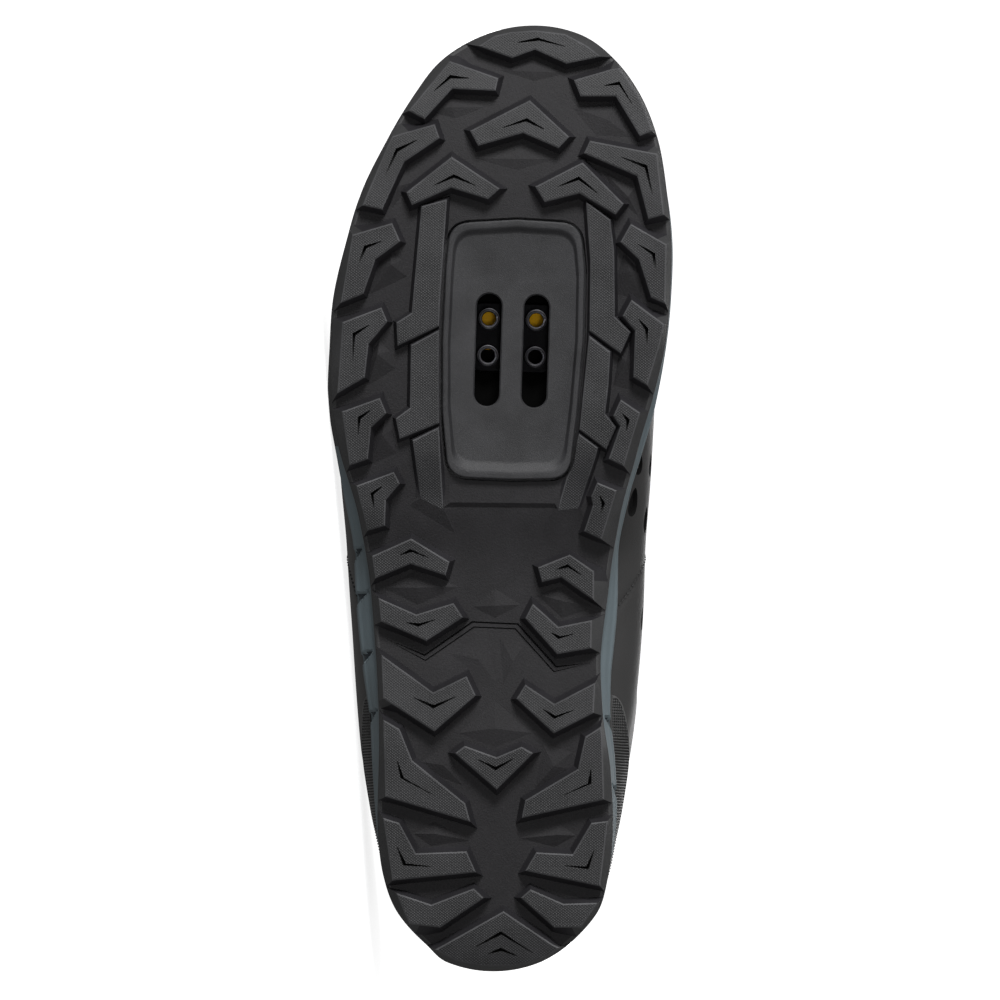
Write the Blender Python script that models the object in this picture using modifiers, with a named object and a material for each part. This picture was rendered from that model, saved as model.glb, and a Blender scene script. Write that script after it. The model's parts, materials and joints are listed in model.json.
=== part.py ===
"""Right cycling shoe for off-road pedals, unworn, lying on its lateral side.

The shoe is drawn standing: +X is lateral, +Y points to the toe, +Z is up, and the lugs touch Z = 0.
At the end every piece is parented to one empty, which lays the shoe down on its lateral side.
Lengths are in metres. In the tables, along is a share of LENGTH and across a share of BALL_WIDTH.
"""

import math
from typing import NamedTuple

import bmesh
import bpy
import numpy as np
from mathutils import Matrix, Vector

# Overall sizes
LENGTH = 0.280
BALL_WIDTH = 0.1016
CLEARANCE = 0.0003

# Sole
TOE_SPRING = 0.016
ARCH_RISE = 0.0055
HEEL_BEVEL = 0.005
LUG_HEIGHT = 0.0048
LUG_DRAFT = 0.0017
RAIL_HEIGHT = 0.0034
RUBBER = 0.0026
SOLE_EDGE = 0.0013
TOE_BUMPER = 0.012
BUMPER_WALL = 0.0022
MIDSOLE_BALL = 0.0060
MIDSOLE_HEEL = 0.0150
MIDSOLE_GROOVE = 0.0009

# Cleat bed and the nut plate behind it
BED_RIM = 0.0010
BED_RIM_WIDTH = 0.0026
BED_FLANGE = 0.0030
BED_CORNER = 0.0060
SLOT_SPACING = 0.0140
SLOT_LENGTH = 0.0332
SLOT_WIDTH = 0.0074
SLOT_MIDDLE = (-0.034, 0.655)
SLOT_LEAN = math.radians(1.8)
NUT_PLATE_WIDTH = 0.0235
NUT_PLATE_LENGTH = 0.0205
NUT_PLATE_THICKNESS = 0.0018
BARREL_RADIUS = 0.0031
BARREL_BORE = 0.00215
BARREL_DROP = 0.0034
BARREL_SPACING = 0.0109
BARREL_AHEAD = 0.0038

# Upper
INSTEP_HEIGHT = 0.100
COLLAR_HEIGHT = 0.084
BULGE_RISE = 0.022
HEEL_CURVE = 0.0065
HEEL_SET = 0.0012
TOE_SET = 0.0049
TOE_LEAN = 0.004
UPPER_WALL = 0.0022
COLLAR_WALL = 0.0060
THROAT_HALF = 0.0185
THROAT_TOP = 0.37
THROAT_ROUND = 0.645
THROAT_END = 0.70
TONGUE_FOOT = 0.725
TONGUE_TOP = 0.325
INSOLE_THICKNESS = 0.0035
TONGUE_THICKNESS = 0.0035
STRAP_THICKNESS = 0.0022
STRAP_TOE_WIDTH = 0.022
STRAP_MIDDLE_WIDTH = 0.023
STRAP_INSTEP_WIDTH = 0.026
STRAP_ROUND_END = 0.12
COUNTER_THICKNESS = 0.0013

# Share of the way from the feather line to the ridge that lies below the widest point
LOW = 0.25
STATIONS = 40
ROWS = 9
ACROSS = 2


class Edge(NamedTuple):
    """A plan edge: how far it stands from the shoe's axis on each side."""

    along: float
    lateral: float
    medial: float


class Tread(NamedTuple):
    """Height of the lug faces, as shares of the toe spring, the arch rise and the heel bevel."""

    along: float
    toe: float
    arch: float
    heel: float


class Share(NamedTuple):
    """One share along the shoe."""

    along: float
    share: float


class Section(NamedTuple):
    """Upper section: bulge over BULGE_RISE, ridge over INSTEP_HEIGHT, ridge_x over BALL_WIDTH."""

    along: float
    bulge: float
    ridge: float
    ridge_x: float
    power: float


class Collar(NamedTuple):
    """Height of the collar's edge on each side, over COLLAR_HEIGHT."""

    along: float
    lateral: float
    medial: float


# Upper edge of the heel counter, as a share of the way up to the widest point
COUNTER = [
    Share(0.000, 1.50),
    Share(0.060, 1.42),
    Share(0.120, 1.22),
    Share(0.175, 1.00),
    Share(0.220, 0.76),
    Share(0.264, 0.46),
    Share(0.275, 0.36),
    Share(0.283, 0.25),
    Share(0.287, 0.10),
]
OUTSOLE_EDGE = [
    Edge(0.00, 0.018, -0.018),
    Edge(0.01, 0.155, 0.118),
    Edge(0.03, 0.218, 0.203),
    Edge(0.06, 0.293, 0.278),
    Edge(0.10, 0.338, 0.314),
    Edge(0.15, 0.355, 0.328),
    Edge(0.21, 0.353, 0.322),
    Edge(0.28, 0.353, 0.297),
    Edge(0.34, 0.362, 0.294),
    Edge(0.41, 0.378, 0.318),
    Edge(0.48, 0.411, 0.349),
    Edge(0.55, 0.456, 0.400),
    Edge(0.61, 0.490, 0.448),
    Edge(0.66, 0.489, 0.480),
    Edge(0.71, 0.481, 0.494),
    Edge(0.77, 0.445, 0.498),
    Edge(0.82, 0.405, 0.486),
    Edge(0.88, 0.325, 0.458),
    Edge(0.93, 0.242, 0.402),
    Edge(0.96, 0.178, 0.343),
    Edge(0.99, 0.044, 0.236),
    Edge(1.00, -0.100, 0.100),
]
MIDSOLE_EDGE = [
    Edge(0.00, 0.018, -0.018),
    Edge(0.01, 0.145, 0.108),
    Edge(0.03, 0.212, 0.197),
    Edge(0.06, 0.288, 0.273),
    Edge(0.10, 0.336, 0.315),
    Edge(0.16, 0.362, 0.340),
    Edge(0.22, 0.373, 0.336),
    Edge(0.28, 0.384, 0.322),
    Edge(0.32, 0.401, 0.326),
    Edge(0.38, 0.418, 0.342),
    Edge(0.44, 0.426, 0.345),
    Edge(0.50, 0.454, 0.376),
    Edge(0.54, 0.474, 0.408),
    Edge(0.60, 0.500, 0.454),
    Edge(0.66, 0.496, 0.484),
    Edge(0.71, 0.486, 0.498),
    Edge(0.77, 0.448, 0.502),
    Edge(0.82, 0.406, 0.487),
    Edge(0.88, 0.319, 0.451),
    Edge(0.93, 0.230, 0.391),
    Edge(0.96, 0.167, 0.332),
    Edge(0.99, 0.038, 0.230),
    Edge(1.00, -0.100, 0.100),
]
FEATHER_EDGE = [
    Edge(0.00, 0.016, -0.016),
    Edge(0.01, 0.126, 0.094),
    Edge(0.04, 0.226, 0.213),
    Edge(0.08, 0.288, 0.272),
    Edge(0.14, 0.332, 0.308),
    Edge(0.20, 0.350, 0.316),
    Edge(0.28, 0.366, 0.304),
    Edge(0.36, 0.392, 0.318),
    Edge(0.44, 0.406, 0.325),
    Edge(0.52, 0.436, 0.372),
    Edge(0.60, 0.468, 0.428),
    Edge(0.66, 0.470, 0.456),
    Edge(0.72, 0.455, 0.474),
    Edge(0.78, 0.420, 0.476),
    Edge(0.84, 0.362, 0.453),
    Edge(0.90, 0.276, 0.402),
    Edge(0.95, 0.180, 0.330),
    Edge(0.98, 0.082, 0.250),
    Edge(1.00, -0.100, 0.100),
]
BULGE_EDGE = [
    Edge(0.00, 0.016, -0.016),
    Edge(0.01, 0.142, 0.112),
    Edge(0.04, 0.246, 0.230),
    Edge(0.08, 0.311, 0.295),
    Edge(0.14, 0.356, 0.335),
    Edge(0.20, 0.386, 0.364),
    Edge(0.28, 0.419, 0.399),
    Edge(0.36, 0.435, 0.419),
    Edge(0.44, 0.449, 0.427),
    Edge(0.52, 0.467, 0.442),
    Edge(0.60, 0.484, 0.453),
    Edge(0.66, 0.482, 0.466),
    Edge(0.72, 0.466, 0.479),
    Edge(0.78, 0.430, 0.480),
    Edge(0.84, 0.370, 0.458),
    Edge(0.90, 0.282, 0.406),
    Edge(0.95, 0.184, 0.334),
    Edge(0.98, 0.084, 0.252),
    Edge(1.00, -0.100, 0.100),
]
TREAD = [
    Tread(0.00, 0.00, 0.00, 1.00),
    Tread(0.02, 0.00, 0.00, 0.40),
    Tread(0.05, 0.00, 0.00, 0.06),
    Tread(0.08, 0.00, 0.00, 0.00),
    Tread(0.24, 0.00, 0.00, 0.00),
    Tread(0.31, 0.00, 0.45, 0.00),
    Tread(0.38, 0.00, 0.95, 0.00),
    Tread(0.43, 0.00, 1.00, 0.00),
    Tread(0.49, 0.00, 0.50, 0.00),
    Tread(0.55, 0.00, 0.12, 0.00),
    Tread(0.61, 0.00, 0.00, 0.00),
    Tread(0.74, 0.00, 0.00, 0.00),
    Tread(0.80, 0.06, 0.00, 0.00),
    Tread(0.87, 0.25, 0.00, 0.00),
    Tread(0.93, 0.53, 0.00, 0.00),
    Tread(0.97, 0.78, 0.00, 0.00),
    Tread(1.00, 1.00, 0.00, 0.00),
]
MIDSOLE_DEPTH = [
    Share(0.00, 1.00),
    Share(0.22, 0.95),
    Share(0.38, 0.62),
    Share(0.50, 0.30),
    Share(0.62, 0.02),
    Share(0.75, 0.00),
    Share(0.90, -0.15),
    Share(1.00, -0.25),
]
BUMPER_HEIGHT = [
    Share(0.00, 0.30),
    Share(0.06, 0.18),
    Share(0.13, 0.00),
    Share(0.85, 0.00),
    Share(0.93, 0.35),
    Share(0.98, 0.85),
    Share(1.00, 1.00),
]
SECTIONS = [
    Section(0.00, 1.00, 1.18, 0.016, 1.30),
    Section(0.10, 1.02, 1.24, 0.010, 1.40),
    Section(0.20, 1.05, 1.26, 0.000, 1.50),
    Section(0.28, 1.02, 1.21, -0.005, 1.35),
    Section(0.34, 1.00, 1.135, -0.012, 1.15),
    Section(0.40, 0.96, 1.045, -0.022, 1.05),
    Section(0.46, 0.90, 0.960, -0.034, 1.00),
    Section(0.52, 0.84, 0.875, -0.048, 1.00),
    Section(0.58, 0.76, 0.795, -0.060, 0.97),
    Section(0.64, 0.68, 0.725, -0.072, 0.92),
    Section(0.70, 0.62, 0.672, -0.084, 0.86),
    Section(0.76, 0.56, 0.635, -0.094, 0.80),
    Section(0.82, 0.50, 0.610, -0.104, 0.76),
    Section(0.88, 0.44, 0.588, -0.112, 0.74),
    Section(0.93, 0.38, 0.560, -0.112, 0.74),
    Section(0.97, 0.34, 0.520, -0.108, 0.77),
    Section(1.00, 0.32, 0.455, -0.100, 0.80),
]
COLLAR = [
    Collar(0.00, 1.000, 1.000),
    Collar(0.04, 0.975, 0.985),
    Collar(0.10, 0.880, 0.905),
    Collar(0.16, 0.792, 0.827),
    Collar(0.22, 0.756, 0.798),
    Collar(0.27, 0.790, 0.835),
    Collar(0.31, 0.890, 0.935),
    Collar(0.34, 1.020, 1.060),
    Collar(0.38, 1.250, 1.260),
    Collar(0.44, 1.600, 1.600),
]

# Lug faces seen from below, each as the corners round its outline: (across, along) in hundredths
LUGS = {
    "toe": [(5.8, 97.7), (-3.5, 96.5), (-10.2, 97.4), (-19.3, 95.9), (-29.0, 96.6),
            (-25.0, 97.7), (-18.9, 98.9), (-10.2, 99.3), (-3.0, 99.1), (1.5, 98.7)],
    "front_lateral": [(26.2, 90.8), (14.5, 96.0), (0.7, 94.2), (1.5, 93.0), (14.0, 93.2), (22.0, 90.0)],
    "front_medial": [(-21.8, 94.0), (-34.9, 95.4), (-41.0, 92.0), (-44.2, 88.7), (-40.7, 88.2),
                     (-33.8, 92.4), (-23.6, 92.4)],
    "front_centre": [(8.4, 88.6), (-8.6, 91.8), (-19.8, 88.0), (-16.9, 86.9), (-6.7, 88.5), (6.2, 87.15)],
    "second_lateral": [(39.6, 80.8), (31.4, 88.0), (19.1, 89.25), (17.8, 87.9), (28.0, 85.4), (34.3, 80.4)],
    "second_medial": [(-26.2, 87.5), (-45.4, 86.15), (-47.4, 79.8), (-43.2, 79.4), (-40.0, 83.9),
                      (-24.7, 86.3)],
    "second_centre_lateral": [(26.9, 82.1), (14.0, 85.8), (0.4, 82.5), (3.6, 81.5), (14.2, 82.7),
                              (25.4, 80.9)],
    "second_centre_medial": [(-10.5, 82.7), (-23.9, 85.2), (-35.6, 80.9), (-33.4, 79.9), (-23.1, 82.1),
                             (-13.1, 81.2)],
    "third_lateral": [(45.9, 70.6), (42.6, 77.6), (31.4, 78.8), (29.2, 77.0), (36.3, 75.1), (39.8, 71.5)],
    "fourth_lateral": [(46.9, 61.1), (45.5, 68.4), (34.5, 69.9), (32.9, 68.55), (38.3, 66.2), (39.4, 62.7)],
    "fifth_lateral": [(43.4, 53.5), (45.6, 59.0), (34.9, 60.4), (33.2, 58.9), (37.6, 57.4), (38.5, 54.1)],
    "sixth_lateral": [(38.3, 46.6), (41.4, 51.2), (30.9, 52.6), (29.3, 51.5), (33.3, 49.8), (33.6, 47.1)],
    "seventh_lateral": [(36.9, 43.8), (25.8, 45.6), (14.9, 43.2), (16.0, 41.9), (26.0, 43.1), (36.0, 41.6)],
    "eighth_lateral": [(34.3, 37.0), (21.4, 35.0), (11.1, 37.4), (13.6, 38.8), (24.3, 37.6), (35.0, 39.3)],
    "ninth_lateral": [(33.6, 28.9), (19.1, 25.5), (7.3, 29.2), (9.8, 31.1), (19.4, 29.4), (34.2, 33.3)],
    "third_medial": [(-38.0, 78.7), (-48.1, 76.6), (-47.8, 70.5), (-44.0, 71.1), (-40.5, 75.1),
                     (-35.2, 76.9)],
    "fourth_medial": [(-38.2, 70.7), (-47.4, 68.2), (-45.8, 65.7), (-42.6, 61.9), (-38.9, 62.7),
                      (-39.4, 67.6), (-35.8, 69.1)],
    "fifth_medial": [(-35.1, 60.2), (-40.4, 58.9), (-35.8, 53.4), (-31.8, 54.1), (-35.1, 57.5),
                     (-33.1, 58.6)],
    "sixth_medial": [(-28.3, 51.5), (-33.6, 50.7), (-29.4, 45.7), (-24.7, 46.5), (-27.2, 49.2),
                     (-26.7, 50.1)],
    "seventh_medial": [(-11.3, 42.6), (-20.2, 43.9), (-27.1, 42.2), (-27.1, 39.3), (-17.8, 41.7),
                       (-12.4, 41.2)],
    "eighth_medial": [(-7.6, 37.3), (-16.7, 33.6), (-26.3, 34.2), (-26.5, 37.0), (-16.9, 36.3),
                      (-9.6, 38.7)],
    "ninth_medial": [(-5.1, 28.85), (-15.6, 25.3), (-27.0, 27.4), (-27.4, 30.4), (-15.8, 28.2),
                     (-7.4, 30.2)],
    "heel_centre": [(12.7, 23.1), (1.0, 19.4), (-9.3, 23.1), (-6.2, 23.7), (1.0, 22.6), (10.2, 23.8)],
    "heel_lateral_front": [(33.6, 26.5), (29.3, 25.6), (25.6, 22.3), (10.3, 17.8), (8.9, 16.0),
                           (33.0, 18.6)],
    "heel_medial_front": [(-29.4, 25.8), (-24.9, 24.8), (-22.8, 21.4), (-7.5, 18.1), (-6.6, 16.4),
                          (-30.0, 18.3)],
    "heel_lateral_middle": [(33.6, 16.2), (29.3, 15.7), (24.5, 12.5), (9.8, 12.7), (7.3, 10.65),
                            (31.0, 9.8)],
    "heel_medial_middle": [(-31.0, 15.9), (-26.6, 15.7), (-21.2, 12.4), (-10.6, 12.6), (-7.7, 10.8),
                           (-28.9, 9.2)],
    "heel_lateral_back": [(29.8, 8.3), (19.9, 7.1), (7.7, 8.8), (5.0, 7.9), (17.4, 4.85), (26.2, 5.2)],
    "heel_medial_back": [(-28.0, 7.3), (-18.3, 7.2), (-8.9, 8.7), (-6.4, 7.9), (-15.8, 4.85),
                         (-23.3, 4.85)],
    "heel_back": [(18.5, 2.4), (-1.0, 6.4), (-17.7, 2.3), (-10.5, 1.25), (-4.0, 0.75), (5.0, 0.75),
                  (12.5, 1.3)],
}
RAILS = {
    "rail_lateral_front": [(22.0, 80.0), (19.4, 80.4), (20.2, 76.0), (20.6, 72.0), (20.9, 68.3),
                           (29.3, 66.4), (29.3, 68.2), (25.2, 69.3), (24.0, 75.0)],
    "rail_lateral_middle": [(20.9, 67.4), (25.3, 66.0), (25.6, 59.8), (29.6, 58.4), (28.6, 56.6),
                            (20.9, 57.9)],
    "rail_lateral_back": [(20.6, 57.1), (24.8, 55.8), (23.9, 53.0), (22.4, 50.0), (18.6, 49.6),
                          (19.2, 53.0)],
    "rail_medial_front": [(-28.4, 79.7), (-31.6, 78.9), (-32.7, 76.0), (-32.8, 69.2), (-37.2, 67.4),
                          (-34.9, 65.6), (-28.5, 67.4), (-28.8, 75.0)],
    "rail_medial_middle": [(-28.2, 66.6), (-31.4, 65.2), (-30.9, 61.8), (-30.0, 59.0), (-33.0, 57.4),
                           (-30.7, 55.5), (-25.6, 57.3), (-27.0, 61.5)],
    "rail_medial_back": [(-25.0, 56.3), (-27.8, 55.0), (-26.9, 53.6), (-22.6, 49.2), (-19.0, 49.0),
                         (-22.2, 53.0)],
}
WINDOW = [(14.6, 78.9), (-5.0, 79.3), (-23.4, 78.9), (-24.6, 74.0), (-24.2, 66.5), (-22.4, 59.0),
          (-20.0, 52.0), (-3.0, 51.9), (15.1, 52.2), (16.8, 59.0), (16.8, 66.5), (15.8, 74.0)]

# Straps over the throat: middle along the ridge, skew, width and how far each side reaches
STRAPS = {
    "strap_toe": (0.650, -0.030, STRAP_TOE_WIDTH, -0.50, 0.50),
    "strap_middle": (0.545, -0.020, STRAP_MIDDLE_WIDTH, -0.50, 0.47),
    "strap_instep": (0.438, -0.010, STRAP_INSTEP_WIDTH, -0.50, 0.46),
}

# Finishes: sRGB colour, roughness, metallic and density in kg per cubic metre
FINISHES = {
    "rubber": ((0.130, 0.128, 0.130), 0.55, 0.0, 1150.0),
    "foam": ((0.235, 0.280, 0.310), 0.60, 0.0, 250.0),
    "nylon": ((0.110, 0.110, 0.112), 0.45, 0.0, 1150.0),
    "steel": ((0.080, 0.080, 0.085), 0.30, 1.0, 7800.0),
    "footbed": ((0.760, 0.640, 0.020), 0.80, 0.0, 180.0),
    "synthetic": ((0.105, 0.102, 0.102), 0.50, 0.0, 700.0),
    "overlay": ((0.120, 0.120, 0.122), 0.55, 0.0, 1000.0),
    "webbing": ((0.095, 0.095, 0.098), 0.70, 0.0, 700.0),
}


def column(table, name):
    """One named column of a table, as an array."""
    return np.array([getattr(row, name) for row in table])


def rounded(along):
    """Position that runs evenly round the toe and heel, from 0 at the heel to 1 at the toe."""
    return np.arccos(1 - 2 * np.clip(along, 0, 1)) / math.pi


def share_along(position):
    """The share of the length at a rounded position."""
    return (1 - np.cos(math.pi * np.asarray(position))) / 2


def curve(knots, values, at):
    """Smooth curve through the values, with no bump between them: cubic, with limited slopes."""
    knots, values = np.asarray(knots, float), np.asarray(values, float)
    at = np.clip(at, knots[0], knots[-1])
    step = np.diff(knots)
    rise = np.diff(values) / step
    before, after = rise[:-1], rise[1:]
    same = before * after > 0
    mean = 2 * before * after / np.where(same, before + after, 1.0)
    slopes = np.concatenate([[rise[0]], np.where(same, mean, 0.0), [rise[-1]]])
    i = np.clip(np.searchsorted(knots, at, side="right") - 1, 0, len(step) - 1)
    t = (at - knots[i]) / step[i]
    ease = t * t * (3 - 2 * t)
    tangents = step[i] * (slopes[i] * t * (1 - t) ** 2 - slopes[i + 1] * t * t * (1 - t))
    return values[i] * (1 - ease) + values[i + 1] * ease + tangents


def follow(table, name, position):
    """A table's column, read at rounded positions along the shoe."""
    return curve(rounded(column(table, "along")), column(table, name), position)


def plan_edge(table, position):
    """Centre and half width of a plan edge. The half width closes in a round end at heel and toe."""
    along, lateral, medial = (column(table, name) for name in ("along", "lateral", "medial"))
    knots = rounded(along)
    centre = curve(knots, (lateral - medial) / 2, position)
    inside = (along > 0) & (along < 1)
    fullness = (lateral + medial)[inside] / 2 / np.sin(math.pi * knots[inside])
    half = curve(knots[inside], fullness, position) * np.sin(math.pi * np.asarray(position))
    return centre * BALL_WIDTH, half * BALL_WIDTH


def tread_height(y):
    """Height of the lug faces over the ground."""
    at = rounded(np.asarray(y) / LENGTH)
    toe, arch, heel = (follow(TREAD, name, at) for name in ("toe", "arch", "heel"))
    return TOE_SPRING * toe + ARCH_RISE * arch + HEEL_BEVEL * heel


def base_height(y):
    """Height of the valleys between the lugs."""
    return tread_height(y) + LUG_HEIGHT


def floor_height(y):
    """Height of the outsole's upper face."""
    return base_height(y) + RUBBER


def feather_height(y):
    """Height of the feather line, where the upper stands on the midsole."""
    share = follow(MIDSOLE_DEPTH, "share", rounded(np.asarray(y) / LENGTH))
    return floor_height(y) + 2 * CLEARANCE + MIDSOLE_BALL + (MIDSOLE_HEEL - MIDSOLE_BALL) * share


def edge_loop(table, inset=0.0, back=0.0, front=LENGTH):
    """Closed plan loop of an edge, drawn in by inset, from the heel up the lateral side and back."""
    position = np.linspace(0, 1, STATIONS + 1)
    y = back + (front - back) * share_along(position)
    centre, half = plan_edge(table, position)
    lateral = np.column_stack([centre + half, y])
    medial = np.column_stack([centre - half, y])[1:-1][::-1]
    return drawn_in(np.vstack([lateral, medial]), inset)


def drawn_in(loop, inset):
    """A closed plan loop, counterclockwise, moved inwards along its normals."""
    tangent = np.roll(loop, -1, axis=0) - np.roll(loop, 1, axis=0)
    tangent /= np.linalg.norm(tangent, axis=1)[:, None]
    return loop - inset * np.column_stack([tangent[:, 1], -tangent[:, 0]])


def raised(loop, height):
    """A plan loop at a height, which is a number or a function of y."""
    z = height(loop[:, 1]) if callable(height) else np.full(len(loop), float(height))
    return np.column_stack([loop, z])


def finish_material(name):
    """The Principled material of one finish, made once."""
    if name in bpy.data.materials:
        return bpy.data.materials[name]
    colour, roughness, metallic, _ = FINISHES[name]
    material = bpy.data.materials.new(name)
    material.use_nodes = True
    shader = material.node_tree.nodes["Principled BSDF"]
    shader.inputs["Base Color"].default_value = (*colour, 1.0)
    shader.inputs["Roughness"].default_value = roughness
    shader.inputs["Metallic"].default_value = metallic
    material.diffuse_color = (*colour, 1.0)
    return material


def new_object(name, mesh_data, collection, finish=None):
    """An object of this mesh in the collection, with its finish."""
    mesh = bpy.data.meshes.new(name)
    mesh_data.to_mesh(mesh)
    mesh_data.free()
    made = bpy.data.objects.new(name, mesh)
    collection.objects.link(made)
    if finish:
        mesh.materials.append(finish_material(finish))
        mesh.shade_smooth()
        mesh.set_sharp_from_angle(angle=math.radians(35))
    else:
        made.hide_render = True
        made.display_type = "WIRE"
    return made


def stacked_loops(loops):
    """Mesh with quads between loops of equal length, and its vertices loop by loop."""
    mesh = bmesh.new()
    rings = [[mesh.verts.new(point) for point in loop] for loop in loops]
    for lower, upper in zip(rings, rings[1:]):
        for i in range(len(lower)):
            j = (i + 1) % len(lower)
            mesh.faces.new((lower[i], lower[j], upper[j], upper[i]))
    return mesh, rings


def cap_sole(mesh, ring, height):
    """Closes a sole loop with rungs from side to side, whose inner points lie on the height."""
    last = len(ring) // 2
    rows = [[ring[0]]]
    for i in range(1, last):
        a, b = ring[i].co, ring[len(ring) - i].co
        inner = []
        for k in range(1, ACROSS):
            x, y, _ = a.lerp(b, k / ACROSS)
            inner.append(mesh.verts.new((x, y, float(height(np.array([y]))[0]))))
        rows.append([ring[i], *inner, ring[len(ring) - i]])
    rows.append([ring[last]])
    for near, far in zip(rows, rows[1:]):
        for k in range(ACROSS):
            corners = [near[min(k, len(near) - 1)], near[min(k + 1, len(near) - 1)]]
            corners += [far[min(k + 1, len(far) - 1)], far[min(k, len(far) - 1)]]
            mesh.faces.new(list(dict.fromkeys(corners)))


def sole_layer(name, loops, bottom, top, collection, finish):
    """A closed layer of the sole from its loops, bottom to top, with caps on two heights."""
    mesh, rings = stacked_loops(loops)
    cap_sole(mesh, rings[0], bottom)
    cap_sole(mesh, rings[-1], top)
    bmesh.ops.recalc_face_normals(mesh, faces=mesh.faces)
    return new_object(name, mesh, collection, finish)


def prism(name, loops, collection, finish=None):
    """A closed stack of loops with a flat face at each end."""
    mesh, rings = stacked_loops(loops)
    mesh.faces.new(rings[0])
    mesh.faces.new(rings[-1])
    bmesh.ops.recalc_face_normals(mesh, faces=mesh.faces)
    return new_object(name, mesh, collection, finish)


def boolean(target, operation, cutter):
    """Adds an exact Boolean with an object or a whole collection."""
    modifier = target.modifiers.new(f"{operation.lower()} {cutter.name}", "BOOLEAN")
    modifier.operation = operation
    modifier.solver = "EXACT"
    if isinstance(cutter, bpy.types.Collection):
        modifier.operand_type = "COLLECTION"
        modifier.collection = cutter
    else:
        modifier.object = cutter


def in_metres(points):
    """Points in hundredths across and along, as plan positions."""
    return np.array(points, float) / 100 * [BALL_WIDTH, LENGTH]


def counterclockwise(points):
    """The same outline, turned to run counterclockwise."""
    x, y = points.T
    area = np.sum(x * np.roll(y, -1) - y * np.roll(x, -1))
    return points if area > 0 else points[::-1]


def mitred(points, out):
    """A counterclockwise outline with every side moved outwards, so corners stay corners."""
    side = np.roll(points, -1, axis=0) - points
    side /= np.linalg.norm(side, axis=1)[:, None]
    normal = np.column_stack([side[:, 1], -side[:, 0]])
    before = np.roll(normal, 1, axis=0)
    spread = np.clip(1 + np.sum(before * normal, axis=1), 0.45, None)
    return points + out * (before + normal) / spread[:, None]


def filleted(points, radius, steps=5):
    """An outline with its sharp corners rounded by arcs of a quadratic curve."""
    rounded_points = []
    for i, corner in enumerate(points):
        before, after = points[i - 1] - corner, points[(i + 1) % len(points)] - corner
        if abs(before @ after) > 0.9 * np.linalg.norm(before) * np.linalg.norm(after):
            rounded_points.append(corner)
            continue
        reach = min(radius, 0.45 * np.linalg.norm(before), 0.45 * np.linalg.norm(after))
        a = corner + before / np.linalg.norm(before) * reach
        b = corner + after / np.linalg.norm(after) * reach
        for t in np.linspace(0, 1, steps):
            rounded_points.append((1 - t) ** 2 * a + 2 * t * (1 - t) * corner + t * t * b)
    return np.array(rounded_points)


def lug(name, points, height, collection):
    """One lug: its face on the tread and its wider foot sunk into the rubber."""
    face = counterclockwise(in_metres(points))
    foot = mitred(face, LUG_DRAFT * height / LUG_HEIGHT)
    level = LUG_HEIGHT - height
    loops = [raised(face, lambda y: tread_height(y) + level)]
    loops.append(raised(foot, lambda y: base_height(y) + RUBBER / 2))
    return prism(name, loops, collection)


def make_outsole(collection, cutters, lugs):
    """Rubber outsole: the sheet with its raised toe and heel rim, the lugs, the rails and the window."""
    for name, points in LUGS.items():
        lug(name, points, LUG_HEIGHT, lugs)
    for name, points in RAILS.items():
        lug(name, points, RAIL_HEIGHT, lugs)

    def rim(y):
        lift = follow(BUMPER_HEIGHT, "share", rounded(np.asarray(y) / LENGTH))
        return floor_height(y) + TOE_BUMPER * np.clip(lift, 0, None)

    loops = [
        raised(edge_loop(OUTSOLE_EDGE, SOLE_EDGE), base_height),
        raised(edge_loop(OUTSOLE_EDGE), lambda y: base_height(y) + SOLE_EDGE),
        raised(edge_loop(OUTSOLE_EDGE), rim),
        raised(edge_loop(OUTSOLE_EDGE, BUMPER_WALL), rim),
        raised(edge_loop(OUTSOLE_EDGE, BUMPER_WALL + CLEARANCE), floor_height),
    ]
    outsole = sole_layer("outsole", loops, base_height, floor_height, collection, "rubber")
    window = mitred(counterclockwise(in_metres(WINDOW)), CLEARANCE)
    window = filleted(window, BED_CORNER)
    cut = prism("window", [raised(window, -LENGTH / 10), raised(window, LENGTH / 10)], cutters)
    boolean(outsole, "UNION", lugs)
    boolean(outsole, "DIFFERENCE", cut)
    return outsole


def bed_levels():
    """Heights of the cleat bed: rim, recessed face, back of the plate."""
    ends = [min(y for _, y in WINDOW), max(y for _, y in WINDOW)]
    across_flange = np.array(ends) / 100 * LENGTH + [-BED_FLANGE, BED_FLANGE]
    recess = LUG_HEIGHT + BED_RIM
    back = float(floor_height(across_flange).max()) + CLEARANCE + BED_FLANGE / 2
    return LUG_HEIGHT, recess, back


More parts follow.
